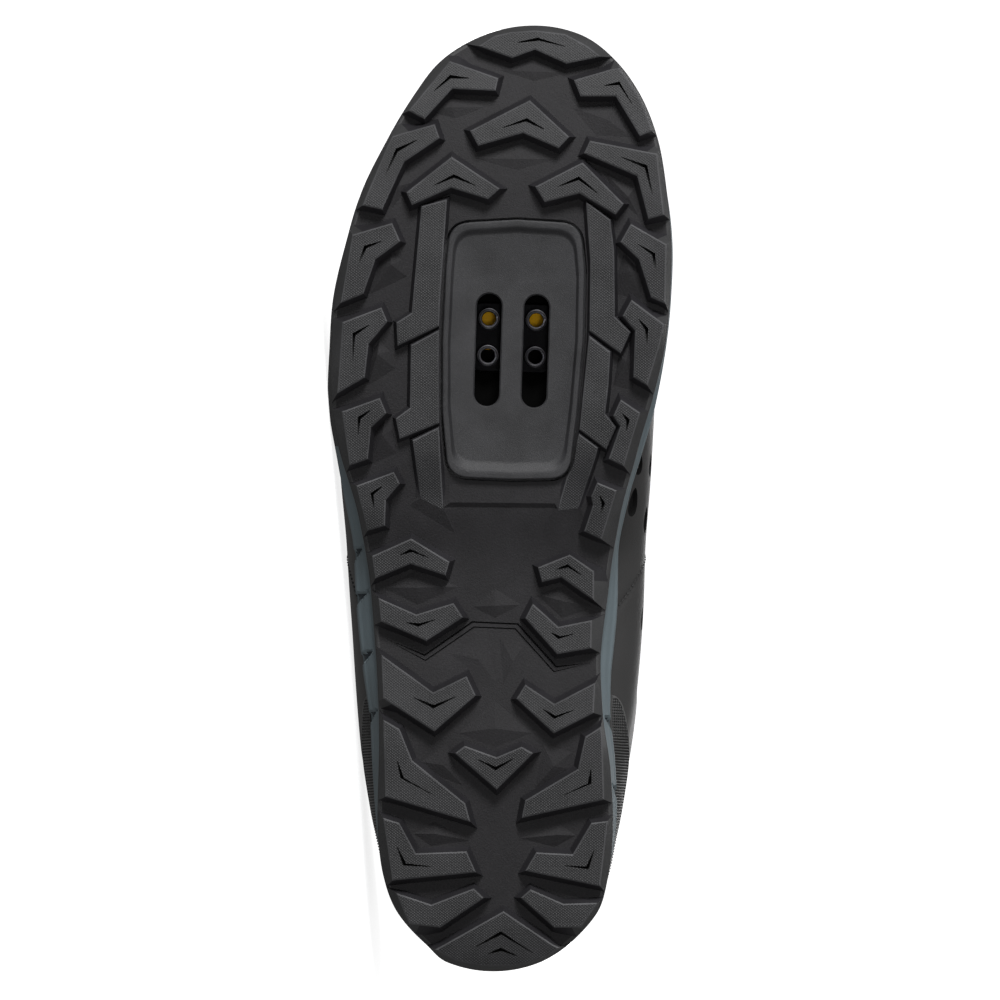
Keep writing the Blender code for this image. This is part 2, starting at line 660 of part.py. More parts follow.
def make_cleat_bed(collection, cutters):
    """Moulded plate in the window: raised rim, recessed flat face, flange behind the rubber, two slots."""
    rim, recess, back = bed_levels()
    corners = counterclockwise(in_metres(WINDOW))
    outline = filleted(corners, BED_CORNER)
    loops = [
        raised(drawn_in(outline, BED_RIM_WIDTH + BED_RIM), recess),
        raised(drawn_in(outline, BED_RIM_WIDTH), rim),
        raised(drawn_in(outline, BED_RIM / 2), rim),
        raised(outline, rim + BED_RIM / 2),
        raised(outline, lambda y: floor_height(y) + CLEARANCE),
        raised(drawn_in(outline, -BED_FLANGE), lambda y: floor_height(y) + CLEARANCE),
        raised(drawn_in(outline, -BED_FLANGE), back),
    ]
    bed = prism("cleat_bed", loops, collection, "nylon")
    for side in (-1, 1):
        half_run = (SLOT_LENGTH - SLOT_WIDTH) / 2
        turns = np.linspace(0, 2 * math.pi, 24, endpoint=False)
        ends = np.where(np.sin(turns) >= 0, half_run, -half_run)
        arc = SLOT_WIDTH / 2 * np.column_stack([np.cos(turns), np.sin(turns)])
        stadium = leaned(arc + np.column_stack([np.full(24, side * SLOT_SPACING / 2), ends]))
        loops = [raised(stadium, 0.0), raised(stadium, 2 * back)]
        boolean(bed, "DIFFERENCE", prism(f"slot {side}", loops, cutters))
    return bed


def leaned(points):
    """Plan points about the middle of the slots, turned by their lean."""
    middle = np.array(SLOT_MIDDLE) * [BALL_WIDTH, LENGTH]
    cos, sin = math.cos(SLOT_LEAN), math.sin(SLOT_LEAN)
    return np.asarray(points) @ np.array([[cos, sin], [-sin, cos]]) + middle


def make_nut_plate(collection, cutters):
    """Steel plate behind the slots with four threaded barrels, which slides along them."""
    _, _, back = bed_levels()
    under = back + CLEARANCE
    centre = [0.0, BARREL_AHEAD]
    corners = np.array([(-1, -1), (1, -1), (1, 1), (-1, 1)]) / 2 * [NUT_PLATE_WIDTH, NUT_PLATE_LENGTH]
    outline = leaned(filleted(corners, BARREL_RADIUS) + centre)
    loops = [raised(outline, under), raised(outline, under + NUT_PLATE_THICKNESS)]
    plate = prism("cleat_nut_plate", loops, collection, "steel")
    turns = np.linspace(0, 2 * math.pi, 14, endpoint=False)
    circle = np.column_stack([np.cos(turns), np.sin(turns)])
    for side in (-1, 1):
        for end in (-1, 1):
            at = np.array([side * SLOT_SPACING / 2, centre[1] + end * BARREL_SPACING / 2])
            name = f"{side} {end}"
            tube = leaned(circle * BARREL_RADIUS + at)
            foot = raised(tube, under - BARREL_DROP)
            top = raised(tube, under + NUT_PLATE_THICKNESS / 2)
            boolean(plate, "UNION", prism(f"barrel {name}", [foot, top], cutters))
            bore = leaned(circle * BARREL_BORE + at)
            loops = [raised(bore, 0.0), raised(bore, 2 * back)]
            boolean(plate, "DIFFERENCE", prism(f"bore {name}", loops, cutters))
    return plate


def make_midsole(collection, cutters):
    """Foam midsole: flared side with a groove, and a pocket for the bed and the nut plate."""

    def bottom(y):
        return floor_height(y) + CLEARANCE

    def top(y):
        return feather_height(y) - CLEARANCE

    def part_way(share):
        return lambda y: bottom(y) + (top(y) - bottom(y)) * share

    inset = BUMPER_WALL + 2 * CLEARANCE
    foot = rim_aware_loop(OUTSOLE_EDGE, inset)
    flare = rim_aware_loop(MIDSOLE_EDGE, inset)
    middle = (foot + flare) / 2
    loops = [
        raised(drawn_in(foot, SOLE_EDGE), bottom),
        raised(foot, part_way(0.12)),
        raised(middle, part_way(0.50)),
        raised(drawn_in(middle, MIDSOLE_GROOVE), part_way(0.56)),
        raised(drawn_in(middle, MIDSOLE_GROOVE / 2), part_way(0.62)),
        raised(flare, part_way(0.72)),
        raised(flare, part_way(0.90)),
        raised(drawn_in(flare, SOLE_EDGE), top),
    ]
    midsole = sole_layer("midsole", loops, bottom, top, collection, "foam")
    pocket = filleted(counterclockwise(in_metres(WINDOW)), BED_CORNER)
    pocket = drawn_in(pocket, -BED_FLANGE - CLEARANCE)
    cut = prism("pocket", [raised(pocket, 0.0), raised(pocket, LENGTH / 5)], cutters)
    boolean(midsole, "DIFFERENCE", cut)
    return midsole


def rim_aware_loop(table, inset):
    """An edge loop that keeps inside the outsole's raised rim at toe and heel."""
    loop = edge_loop(table)
    lift = follow(BUMPER_HEIGHT, "share", rounded(loop[:, 1] / LENGTH))
    near = np.clip(np.abs(lift) / 0.04, 0, 1)
    near = near * near * (3 - 2 * near)
    room = edge_loop(OUTSOLE_EDGE, inset)
    return loop * (1 - near)[:, None] + room * near[:, None]


def soft_least(a, b, blend=0.035):
    """The lesser of two curves, with the corner between them rounded."""
    return -blend * np.logaddexp(-a / blend, -b / blend)


def upper_section(position):
    """The measures of the upper's sections at rounded positions."""
    y = LENGTH * share_along(position)
    feather = feather_height(y)
    foot_centre, foot_half = plan_edge(FEATHER_EDGE, position)
    centre, half = plan_edge(BULGE_EDGE, position)
    return {
        "feather": feather,
        "foot_centre": foot_centre,
        "foot_half": foot_half,
        "centre": centre,
        "half": half,
        "bulge": feather + BULGE_RISE * follow(SECTIONS, "bulge", position),
        "ridge": INSTEP_HEIGHT * follow(SECTIONS, "ridge", position),
        "ridge_x": BALL_WIDTH * follow(SECTIONS, "ridge_x", position),
        "power": follow(SECTIONS, "power", position),
    }


def upper_face(position, turn):
    """Points of the upper's outer face. turn is 1 at the lateral feather line, 0 at the ridge, -1 medial."""
    position = np.clip(position, 0.0, 1.0)
    s = upper_section(position)
    side = np.where(turn >= 0, 1.0, -1.0)
    rise = 1 - np.abs(turn)
    low = np.clip(rise / LOW, 0, 1)
    angle = np.clip((rise - LOW) / (1 - LOW), 0, 1) * math.pi / 2
    wide = s["centre"] + side * s["half"]
    foot = s["foot_centre"] + side * s["foot_half"]
    above = s["centre"] + side * s["half"] * np.cos(angle) ** s["power"]
    above = above + (s["ridge_x"] - s["centre"]) * np.sin(angle) ** 2
    x = np.where(rise < LOW, wide - (wide - foot) * (1 - low) ** 2, above)
    z_low = s["feather"] + (s["bulge"] - s["feather"]) * low
    z = np.where(rise < LOW, z_low, s["bulge"] + (s["ridge"] - s["bulge"]) * np.sin(angle))
    along = share_along(position)
    heel_top = (z - s["bulge"]) / (COLLAR_HEIGHT - s["bulge"])
    heel = HEEL_SET + HEEL_CURVE * heel_top**2 * np.where(heel_top > 0, 1.0, 0.6)
    toe = TOE_SET + TOE_LEAN * np.clip((z - s["bulge"]) / BULGE_RISE, 0, None) ** 2
    y = LENGTH * along + heel * (1 - along) ** 3 - toe * along**8
    return np.stack([x, y, z], axis=-1)


def upper_offset(position, turn, out):
    """Points at a distance out from the upper's outer face, along its normal."""
    small = 1e-4
    position = np.clip(position, 2 * small, 1 - 2 * small)
    along = upper_face(position + small, turn) - upper_face(position - small, turn)
    up = upper_face(position, turn - small) - upper_face(position, turn + small)
    normal = np.cross(along, up)
    normal /= np.linalg.norm(normal, axis=-1, keepdims=True)
    return upper_face(position, turn) + normal * np.asarray(out)[..., None]


def rim_rise(position, side):
    """How far up its section the upper's edge stands, from 0 at the feather line to 1 at the ridge."""
    s = upper_section(position)
    along = share_along(position)
    name = "lateral" if side > 0 else "medial"
    height = COLLAR_HEIGHT * curve(column(COLLAR, "along"), column(COLLAR, name), along)
    share = np.clip((height - s["bulge"]) / (s["ridge"] - s["bulge"]), 0, 1)
    from_collar = np.where(along > COLLAR[-1].along, 2.0, np.arcsin(share) / (math.pi / 2))
    end = np.clip((along - THROAT_ROUND) / (THROAT_END - THROAT_ROUND), 0, 1)
    gap = THROAT_HALF * (1 - 0.3 * np.clip((along - THROAT_TOP) / (THROAT_END - THROAT_TOP), 0, 1))
    gap = gap * np.sqrt(1 - end**2)
    reach = np.clip(gap / np.maximum(s["half"], gap + CLEARANCE), 0, 1) ** (1 / s["power"])
    from_gap = np.where(along < THROAT_TOP / 2, 2.0, np.arccos(reach) / (math.pi / 2))
    rise = LOW + (1 - LOW) * soft_least(from_collar, from_gap)
    return np.where(along >= THROAT_END, 1.0, np.minimum(rise, 1.0))


def upper_stations():
    """Stations along the upper, closer together at the collar's front corner and the throat's end."""
    even = np.linspace(0, 1, STATIONS + 1)
    corner = rounded(np.linspace(THROAT_TOP - 0.06, THROAT_TOP + 0.03, 6))
    end = rounded(THROAT_ROUND + (THROAT_END - THROAT_ROUND) * np.array([0.35, 0.65, 0.85, 0.95, 1.0]))
    extra = np.concatenate([corner, end])
    apart = np.abs(even[:, None] - extra[None, :]).min(axis=1) > 0.35 / STATIONS
    return np.sort(np.concatenate([even[apart], extra]))


def make_upper(collection):
    """The hollow upper: one curved skin with its wall inside, open underneath, at the throat and collar."""
    stations = upper_stations()
    mesh = bmesh.new()
    layer = mesh.verts.layers.deform.verify()
    for side in (1, -1):
        rise = rim_rise(stations, side)[:, None] * np.linspace(0, 1, ROWS + 1)[None, :]
        points = upper_face(stations[:, None], side * (1 - rise))
        along = share_along(stations)
        pad = np.clip((THROAT_TOP - 0.03 - along) / 0.06, 0, 1)[:, None]
        pad = pad * np.clip((np.linspace(0, 1, ROWS + 1)[None, :] - 0.5) / 0.3, 0, 1)
        weight = UPPER_WALL / COLLAR_WALL + (1 - UPPER_WALL / COLLAR_WALL) * pad
        grid = [[mesh.verts.new(point) for point in row] for row in points]
        for i, row in enumerate(grid):
            for j, vertex in enumerate(row):
                vertex[layer][0] = float(weight[i, j])
        for near, far in zip(grid, grid[1:]):
            for j in range(ROWS):
                corners = (near[j], far[j], far[j + 1], near[j + 1])
                mesh.faces.new(corners if side > 0 else corners[::-1])
    bmesh.ops.remove_doubles(mesh, verts=mesh.verts, dist=1e-6)
    upper = new_object("upper", mesh, collection, "synthetic")
    upper.vertex_groups.new(name="padding")
    wall = upper.modifiers.new("wall", "SOLIDIFY")
    wall.thickness = COLLAR_WALL
    wall.offset = -1
    wall.vertex_group = "padding"
    wall.use_quality_normals = True
    return upper


def patch(name, position, turn, inner, outer, collection, finish):
    """A band of the upper's own form between two distances from its face."""
    mesh = bmesh.new()
    shells = [upper_offset(position, turn, np.full(position.shape, out)) for out in (inner, outer)]
    grids = [[[mesh.verts.new(point) for point in row] for row in shell] for shell in shells]
    last_i, last_j = position.shape[0] - 1, position.shape[1] - 1
    for grid in grids:
        for i in range(last_i):
            for j in range(last_j):
                mesh.faces.new((grid[i][j], grid[i + 1][j], grid[i + 1][j + 1], grid[i][j + 1]))
    border = [(i, 0) for i in range(last_i)] + [(last_i, j) for j in range(last_j)]
    border += [(i, last_j) for i in range(last_i, 0, -1)] + [(0, j) for j in range(last_j, 0, -1)]
    for (i, j), (k, m) in zip(border, border[1:] + border[:1]):
        mesh.faces.new((grids[0][i][j], grids[0][k][m], grids[1][k][m], grids[1][i][j]))
    bmesh.ops.recalc_face_normals(mesh, faces=mesh.faces)
    return new_object(name, mesh, collection, finish)


def make_counter(collection):
    """Ribbed overlay round the heel, low at its front ends and highest at the back."""
    stations = upper_stations()
    half = np.concatenate([stations[1:], rounded(column(COUNTER, "along")[-4:])])
    half = np.sort(half[half <= rounded(COUNTER[-1].along)])
    round_heel = np.concatenate([-half[::-1], [0.0], half])[:, None]
    v = np.linspace(0, 1, 6)[None, :]
    position = np.abs(round_heel) + 0 * v
    foot = 0.02
    rise = foot + (LOW * follow(COUNTER, "share", position) - foot) * v
    turn = np.where(round_heel >= 0, 1.0, -1.0) * (1 - rise)
    inner, outer = CLEARANCE, CLEARANCE + COUNTER_THICKNESS
    return patch("heel_counter", position, turn, inner, outer, collection, "overlay")


def make_tongue(collection):
    """Padded tongue under the throat, from the vamp to above the instep."""
    v = np.linspace(-1, 1, 9)[None, :]
    u = np.linspace(0, 1, 15)[:, None]
    along = TONGUE_FOOT + (TONGUE_TOP - TONGUE_FOOT) * u
    half = 0.31 + 0.03 * u - 0.10 * np.clip((u - 0.85) / 0.15, 0, 1) ** 2
    position = rounded(along + 0.012 * u * v**2) + 0 * v
    outer = -(UPPER_WALL + 3 * CLEARANCE)
    return patch("tongue", position, half * v, outer - TONGUE_THICKNESS, outer, collection, "synthetic")


def make_strap(name, middle, skew, width, medial, lateral, collection):
    """One hook-and-loop strap over the throat, with a rounded free end on the lateral side."""
    v = np.linspace(0, 1, 17)[:, None]
    w = np.linspace(-1, 1, 5)[None, :]
    turn = medial + (lateral - medial) * v
    end = np.sqrt(1 - np.clip((v - (1 - STRAP_ROUND_END)) / STRAP_ROUND_END, 0, 0.94) ** 2)
    along = middle + skew * turn + w * end * width / 2 / LENGTH
    position = rounded(along)
    outer = CLEARANCE + STRAP_THICKNESS
    return patch(name, position, turn + 0 * w, CLEARANCE, outer, collection, "webbing")


def make_insole(collection):
    """Footbed inside the upper, resting on the midsole."""

    def bottom(y):
        return feather_height(y)

    def top(y):
        return feather_height(y) + INSOLE_THICKNESS

    inset = UPPER_WALL + 2 * CLEARANCE
    front = LENGTH - TOE_SET
    loops = [
        raised(edge_loop(FEATHER_EDGE, inset + CLEARANCE, HEEL_SET + HEEL_CURVE / 3, front), bottom),
        raised(edge_loop(FEATHER_EDGE, inset, HEEL_SET + HEEL_CURVE / 3, front), top),
    ]
    return sole_layer("insole", loops, bottom, top, collection, "footbed")


def evaluated_points(made):
    """World points and triangles of an object with its modifiers."""
    graph = bpy.context.evaluated_depsgraph_get()
    evaluated = made.evaluated_get(graph)
    mesh = evaluated.to_mesh()
    mesh.calc_loop_triangles()
    points = np.array([vertex.co[:] for vertex in mesh.vertices])
    triangles = np.array([triangle.vertices[:] for triangle in mesh.loop_triangles])
    evaluated.to_mesh_clear()
    return points, triangles


def lying_down(pieces):
    """The turn and shift that lay the standing shoe on the lateral face of its hull under its weight."""
    bpy.context.view_layer.update()
    everything, moment, weight = [], np.zeros(3), 0.0
    for piece in pieces:
        points, triangles = evaluated_points(piece)
        everything.append(points)
        a, b, c = (points[triangles[:, k]] for k in range(3))
        volume = np.einsum("ij,ij->i", a, np.cross(b, c)) / 6
        density = FINISHES[piece.data.materials[0].name][3]
        moment += density * (volume[:, None] * (a + b + c) / 4).sum(axis=0)
        weight += density * volume.sum()
    centre = Vector(moment / weight)
    points = np.vstack(everything)
    hull = bmesh.new()
    for point in points[points[:, 0] > BALL_WIDTH / 5]:
        hull.verts.new(point)
    bmesh.ops.convex_hull(hull, input=hull.verts)
    bmesh.ops.recalc_face_normals(hull, faces=hull.faces)
    best, down = -1.0, Vector((1, 0, 0))
    for face in hull.faces:
        if face.normal.x < 0.7:
            continue
        a, b, c = (loop.vert.co for loop in face.loops[:3])
        foot = centre - face.normal * (centre - a).dot(face.normal)
        inside = min((q - p).cross(foot - p).dot(face.normal) for p, q in ((a, b), (b, c), (c, a)))
        if inside > best:
            best, down = inside, face.normal.copy()
    hull.free()
    z_axis = -down
    y_axis = (Vector((0, 1, 0)) - down * down.y).normalized()
    x_axis = y_axis.cross(z_axis)
    turn = Matrix((x_axis, y_axis, z_axis))
    laid = points @ np.array(turn).T
    low, high = laid.min(axis=0), laid.max(axis=0)
    shift = Vector((-(low[0] + high[0]) / 2, -(low[1] + high[1]) / 2, -low[2]))
    return Matrix.Translation(shift) @ turn.to_4x4()


def main():
    """Clears the scene, makes every piece standing, and lays the shoe down."""
    for old in list(bpy.data.objects):
        bpy.data.objects.remove(old)
    collections = {}
    for name in ("cycling_shoe", "cutters", "lugs"):
        collections[name] = bpy.data.collections.new(name)
        bpy.context.scene.collection.children.link(collections[name])
    shoe, cutters, lugs = (collections[name] for name in ("cycling_shoe", "cutters", "lugs"))
    pieces = [
        make_outsole(shoe, cutters, lugs),
        make_midsole(shoe, cutters),
        make_cleat_bed(shoe, cutters),
        make_nut_plate(shoe, cutters),
        make_insole(shoe),
        make_upper(shoe),
        make_counter(shoe),
        make_tongue(shoe),
    ]
    for name, sizes in STRAPS.items():
        pieces.append(make_strap(name, *sizes, shoe))
    floor = bpy.data.objects.new("shoe_on_its_side", None)
    shoe.objects.link(floor)
    floor.matrix_world = lying_down(pieces)
    for made in [*shoe.objects, *cutters.objects, *lugs.objects]:
        if made is not floor:
            made.parent = floor
    bpy.context.view_layer.update()


if __name__ == "__main__":
    main()
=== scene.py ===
"""Right off-road cycling shoe, lying on its lateral side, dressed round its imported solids.

The shoe is worked out standing: x is lateral, y points to the toe and z is up, all in metres. Placement
then lays every mesh down on the frame. Along is a share of the shoe's length from the heel, across is a
share of its width at the ball. Tables of plan points hold both in hundredths, across first and positive on
the lateral side.
"""

from __future__ import annotations

import json
import logging
import math
from collections.abc import Callable, Sequence
from dataclasses import dataclass
from enum import Enum
from typing import NamedTuple

import bmesh
import bpy
import numpy as np
from mathutils import Matrix, Vector
from mathutils.geometry import delaunay_2d_cdt

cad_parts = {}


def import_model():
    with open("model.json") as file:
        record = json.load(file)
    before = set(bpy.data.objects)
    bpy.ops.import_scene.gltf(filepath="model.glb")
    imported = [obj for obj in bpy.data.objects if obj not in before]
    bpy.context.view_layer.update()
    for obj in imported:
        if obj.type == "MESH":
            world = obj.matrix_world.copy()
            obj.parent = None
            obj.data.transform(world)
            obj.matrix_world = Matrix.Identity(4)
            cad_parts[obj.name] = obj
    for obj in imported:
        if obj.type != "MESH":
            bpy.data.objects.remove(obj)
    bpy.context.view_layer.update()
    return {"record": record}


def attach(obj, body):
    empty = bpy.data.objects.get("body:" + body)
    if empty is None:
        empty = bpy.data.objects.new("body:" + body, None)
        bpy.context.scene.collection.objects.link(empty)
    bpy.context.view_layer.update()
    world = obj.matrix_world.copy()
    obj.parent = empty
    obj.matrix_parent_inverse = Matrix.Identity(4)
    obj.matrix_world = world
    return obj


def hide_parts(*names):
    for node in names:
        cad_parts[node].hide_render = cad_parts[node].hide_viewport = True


LOG = logging.getLogger("cycling_shoe")
MM = 0.001
BODY = "shoe"
NUT_BODY = "cleat_nut"
# Steps along outlines: of a limit that points are held to, and of the outlines themselves
FINE_STEP = 0.0002
OUTLINE_STEP = 0.003
# Clouds in every finish: repeats to a metre
CLOUD_SCALE = 90.0

# Plan points, and a height that is a number or a function of y
Points = tuple[tuple[float, float], ...]
Height = float | Callable[[np.ndarray], np.ndarray]

# Plan edges: along, lateral and medial distance from the shoe's axis
OUTSOLE_EDGE = (
    (0.00, 0.018, -0.018), (0.01, 0.155, 0.118), (0.03, 0.218, 0.203), (0.06, 0.293, 0.278),
    (0.10, 0.338, 0.314), (0.15, 0.355, 0.328), (0.21, 0.353, 0.322), (0.28, 0.353, 0.297),
    (0.34, 0.362, 0.294), (0.41, 0.378, 0.318), (0.48, 0.411, 0.349), (0.55, 0.467, 0.400),
    (0.61, 0.492, 0.448), (0.66, 0.491, 0.480), (0.71, 0.481, 0.494), (0.77, 0.445, 0.498),
    (0.82, 0.405, 0.486), (0.88, 0.325, 0.458), (0.93, 0.242, 0.402), (0.96, 0.178, 0.343),
    (0.99, 0.044, 0.236), (1.00, -0.100, 0.100),
)
MIDSOLE_EDGE = (
    (0.00, 0.018, -0.018), (0.01, 0.145, 0.108), (0.03, 0.212, 0.197), (0.06, 0.288, 0.273),
    (0.10, 0.336, 0.315), (0.16, 0.362, 0.340), (0.22, 0.373, 0.336), (0.28, 0.384, 0.322),
    (0.32, 0.401, 0.326), (0.38, 0.418, 0.342), (0.44, 0.426, 0.345), (0.50, 0.454, 0.376),
    (0.54, 0.474, 0.408), (0.60, 0.500, 0.454), (0.66, 0.496, 0.484), (0.71, 0.486, 0.498),
    (0.77, 0.448, 0.502), (0.82, 0.406, 0.487), (0.88, 0.319, 0.451), (0.93, 0.230, 0.391),
    (0.96, 0.167, 0.332), (0.99, 0.038, 0.230), (1.00, -0.100, 0.100),
)
FEATHER_EDGE = (
    (0.00, 0.016, -0.016), (0.01, 0.126, 0.094), (0.04, 0.226, 0.213), (0.08, 0.288, 0.272),
    (0.14, 0.332, 0.308), (0.20, 0.350, 0.316), (0.28, 0.366, 0.304), (0.36, 0.392, 0.318),
    (0.44, 0.406, 0.325), (0.52, 0.436, 0.372), (0.60, 0.468, 0.428), (0.66, 0.470, 0.456),
    (0.72, 0.455, 0.474), (0.78, 0.420, 0.476), (0.84, 0.362, 0.453), (0.90, 0.276, 0.402),
    (0.95, 0.180, 0.330), (0.98, 0.082, 0.250), (1.00, -0.100, 0.100),
)
BULGE_EDGE = (
    (0.00, 0.016, -0.016), (0.01, 0.142, 0.112), (0.04, 0.246, 0.230), (0.08, 0.311, 0.295),
    (0.14, 0.356, 0.335), (0.20, 0.386, 0.364), (0.28, 0.419, 0.399), (0.36, 0.435, 0.419),
    (0.44, 0.449, 0.427), (0.52, 0.467, 0.442), (0.60, 0.484, 0.453), (0.66, 0.482, 0.466),
    (0.72, 0.466, 0.479), (0.78, 0.430, 0.480), (0.84, 0.370, 0.458), (0.90, 0.282, 0.406),
    (0.95, 0.184, 0.334), (0.98, 0.084, 0.252), (1.00, -0.100, 0.100),
)

# Lug faces over the ground: along, then shares of the toe spring, the arch rise and the heel bevel
TREAD = (
    (0.00, 0.00, 0.00, 1.00), (0.02, 0.00, 0.00, 0.40), (0.05, 0.00, 0.00, 0.06), (0.08, 0.00, 0.00, 0.00),
    (0.24, 0.00, 0.00, 0.00), (0.31, 0.00, 0.45, 0.00), (0.38, 0.00, 0.95, 0.00), (0.43, 0.00, 1.00, 0.00),
    (0.49, 0.00, 0.50, 0.00), (0.55, 0.00, 0.12, 0.00), (0.61, 0.00, 0.00, 0.00), (0.74, 0.00, 0.00, 0.00),
    (0.80, 0.06, 0.00, 0.00), (0.87, 0.25, 0.00, 0.00), (0.93, 0.53, 0.00, 0.00), (0.97, 0.78, 0.00, 0.00),
    (1.00, 1.00, 0.00, 0.00),
)
MIDSOLE_DEPTH = (
    (0.00, 1.00), (0.22, 0.95), (0.38, 0.62), (0.50, 0.30), (0.62, 0.02), (0.75, 0.00), (0.90, -0.15),
    (1.00, -0.25),
)
BUMPER_HEIGHT = (
    (0.00, 0.30), (0.06, 0.18), (0.13, 0.00), (0.85, 0.00), (0.93, 0.35), (0.98, 0.85), (1.00, 1.00),
)

# Upper sections: along, bulge, ridge height, ridge across, power of the section's curve
SECTIONS = (
    (0.00, 1.00, 1.18, 0.016, 1.30), (0.10, 1.02, 1.24, 0.010, 1.40), (0.20, 1.05, 1.26, 0.000, 1.50),
    (0.28, 1.02, 1.21, -0.005, 1.35), (0.34, 1.00, 1.135, -0.012, 1.15), (0.40, 0.96, 1.045, -0.022, 1.05),
    (0.46, 0.90, 0.960, -0.034, 1.00), (0.52, 0.84, 0.875, -0.048, 1.00), (0.58, 0.76, 0.795, -0.060, 0.97),
    (0.64, 0.68, 0.725, -0.072, 0.92), (0.70, 0.62, 0.672, -0.084, 0.86), (0.76, 0.56, 0.635, -0.094, 0.80),
    (0.82, 0.50, 0.610, -0.104, 0.76), (0.88, 0.44, 0.588, -0.112, 0.74), (0.93, 0.38, 0.560, -0.112, 0.74),
    (0.97, 0.34, 0.520, -0.108, 0.77), (1.00, 0.32, 0.455, -0.100, 0.80),
)

# Collar edge: along, lateral and medial height as shares of the collar height
COLLAR = (
    (0.00, 1.000, 1.000), (0.04, 0.975, 0.985), (0.10, 0.880, 0.905), (0.16, 0.792, 0.827),
    (0.22, 0.756, 0.798), (0.27, 0.790, 0.835), (0.31, 0.890, 0.935), (0.34, 1.020, 1.060),
    (0.38, 1.250, 1.260), (0.44, 1.600, 1.600),
)
COUNTER = (
    (0.000, 1.50), (0.060, 1.42), (0.120, 1.22), (0.165, 1.00), (0.204, 0.80), (0.233, 0.60), (0.254, 0.46),
    (0.268, 0.36), (0.279, 0.27), (0.286, 0.16), (0.288, 0.09),
)
WINDOW = (
    (14.6, 78.9), (-5.0, 79.3), (-23.4, 78.9), (-24.6, 74.0), (-24.2, 66.5), (-22.4, 59.0), (-20.0, 52.0),
    (-3.0, 51.9), (15.1, 52.2), (16.8, 59.0), (16.8, 66.5), (15.8, 74.0),
)


class Lug(NamedTuple):
    """One lug: the corners round its face, and for each sipe one end, the tip and the other end."""

    face: Points
    sipes: tuple[Points, ...] = ()


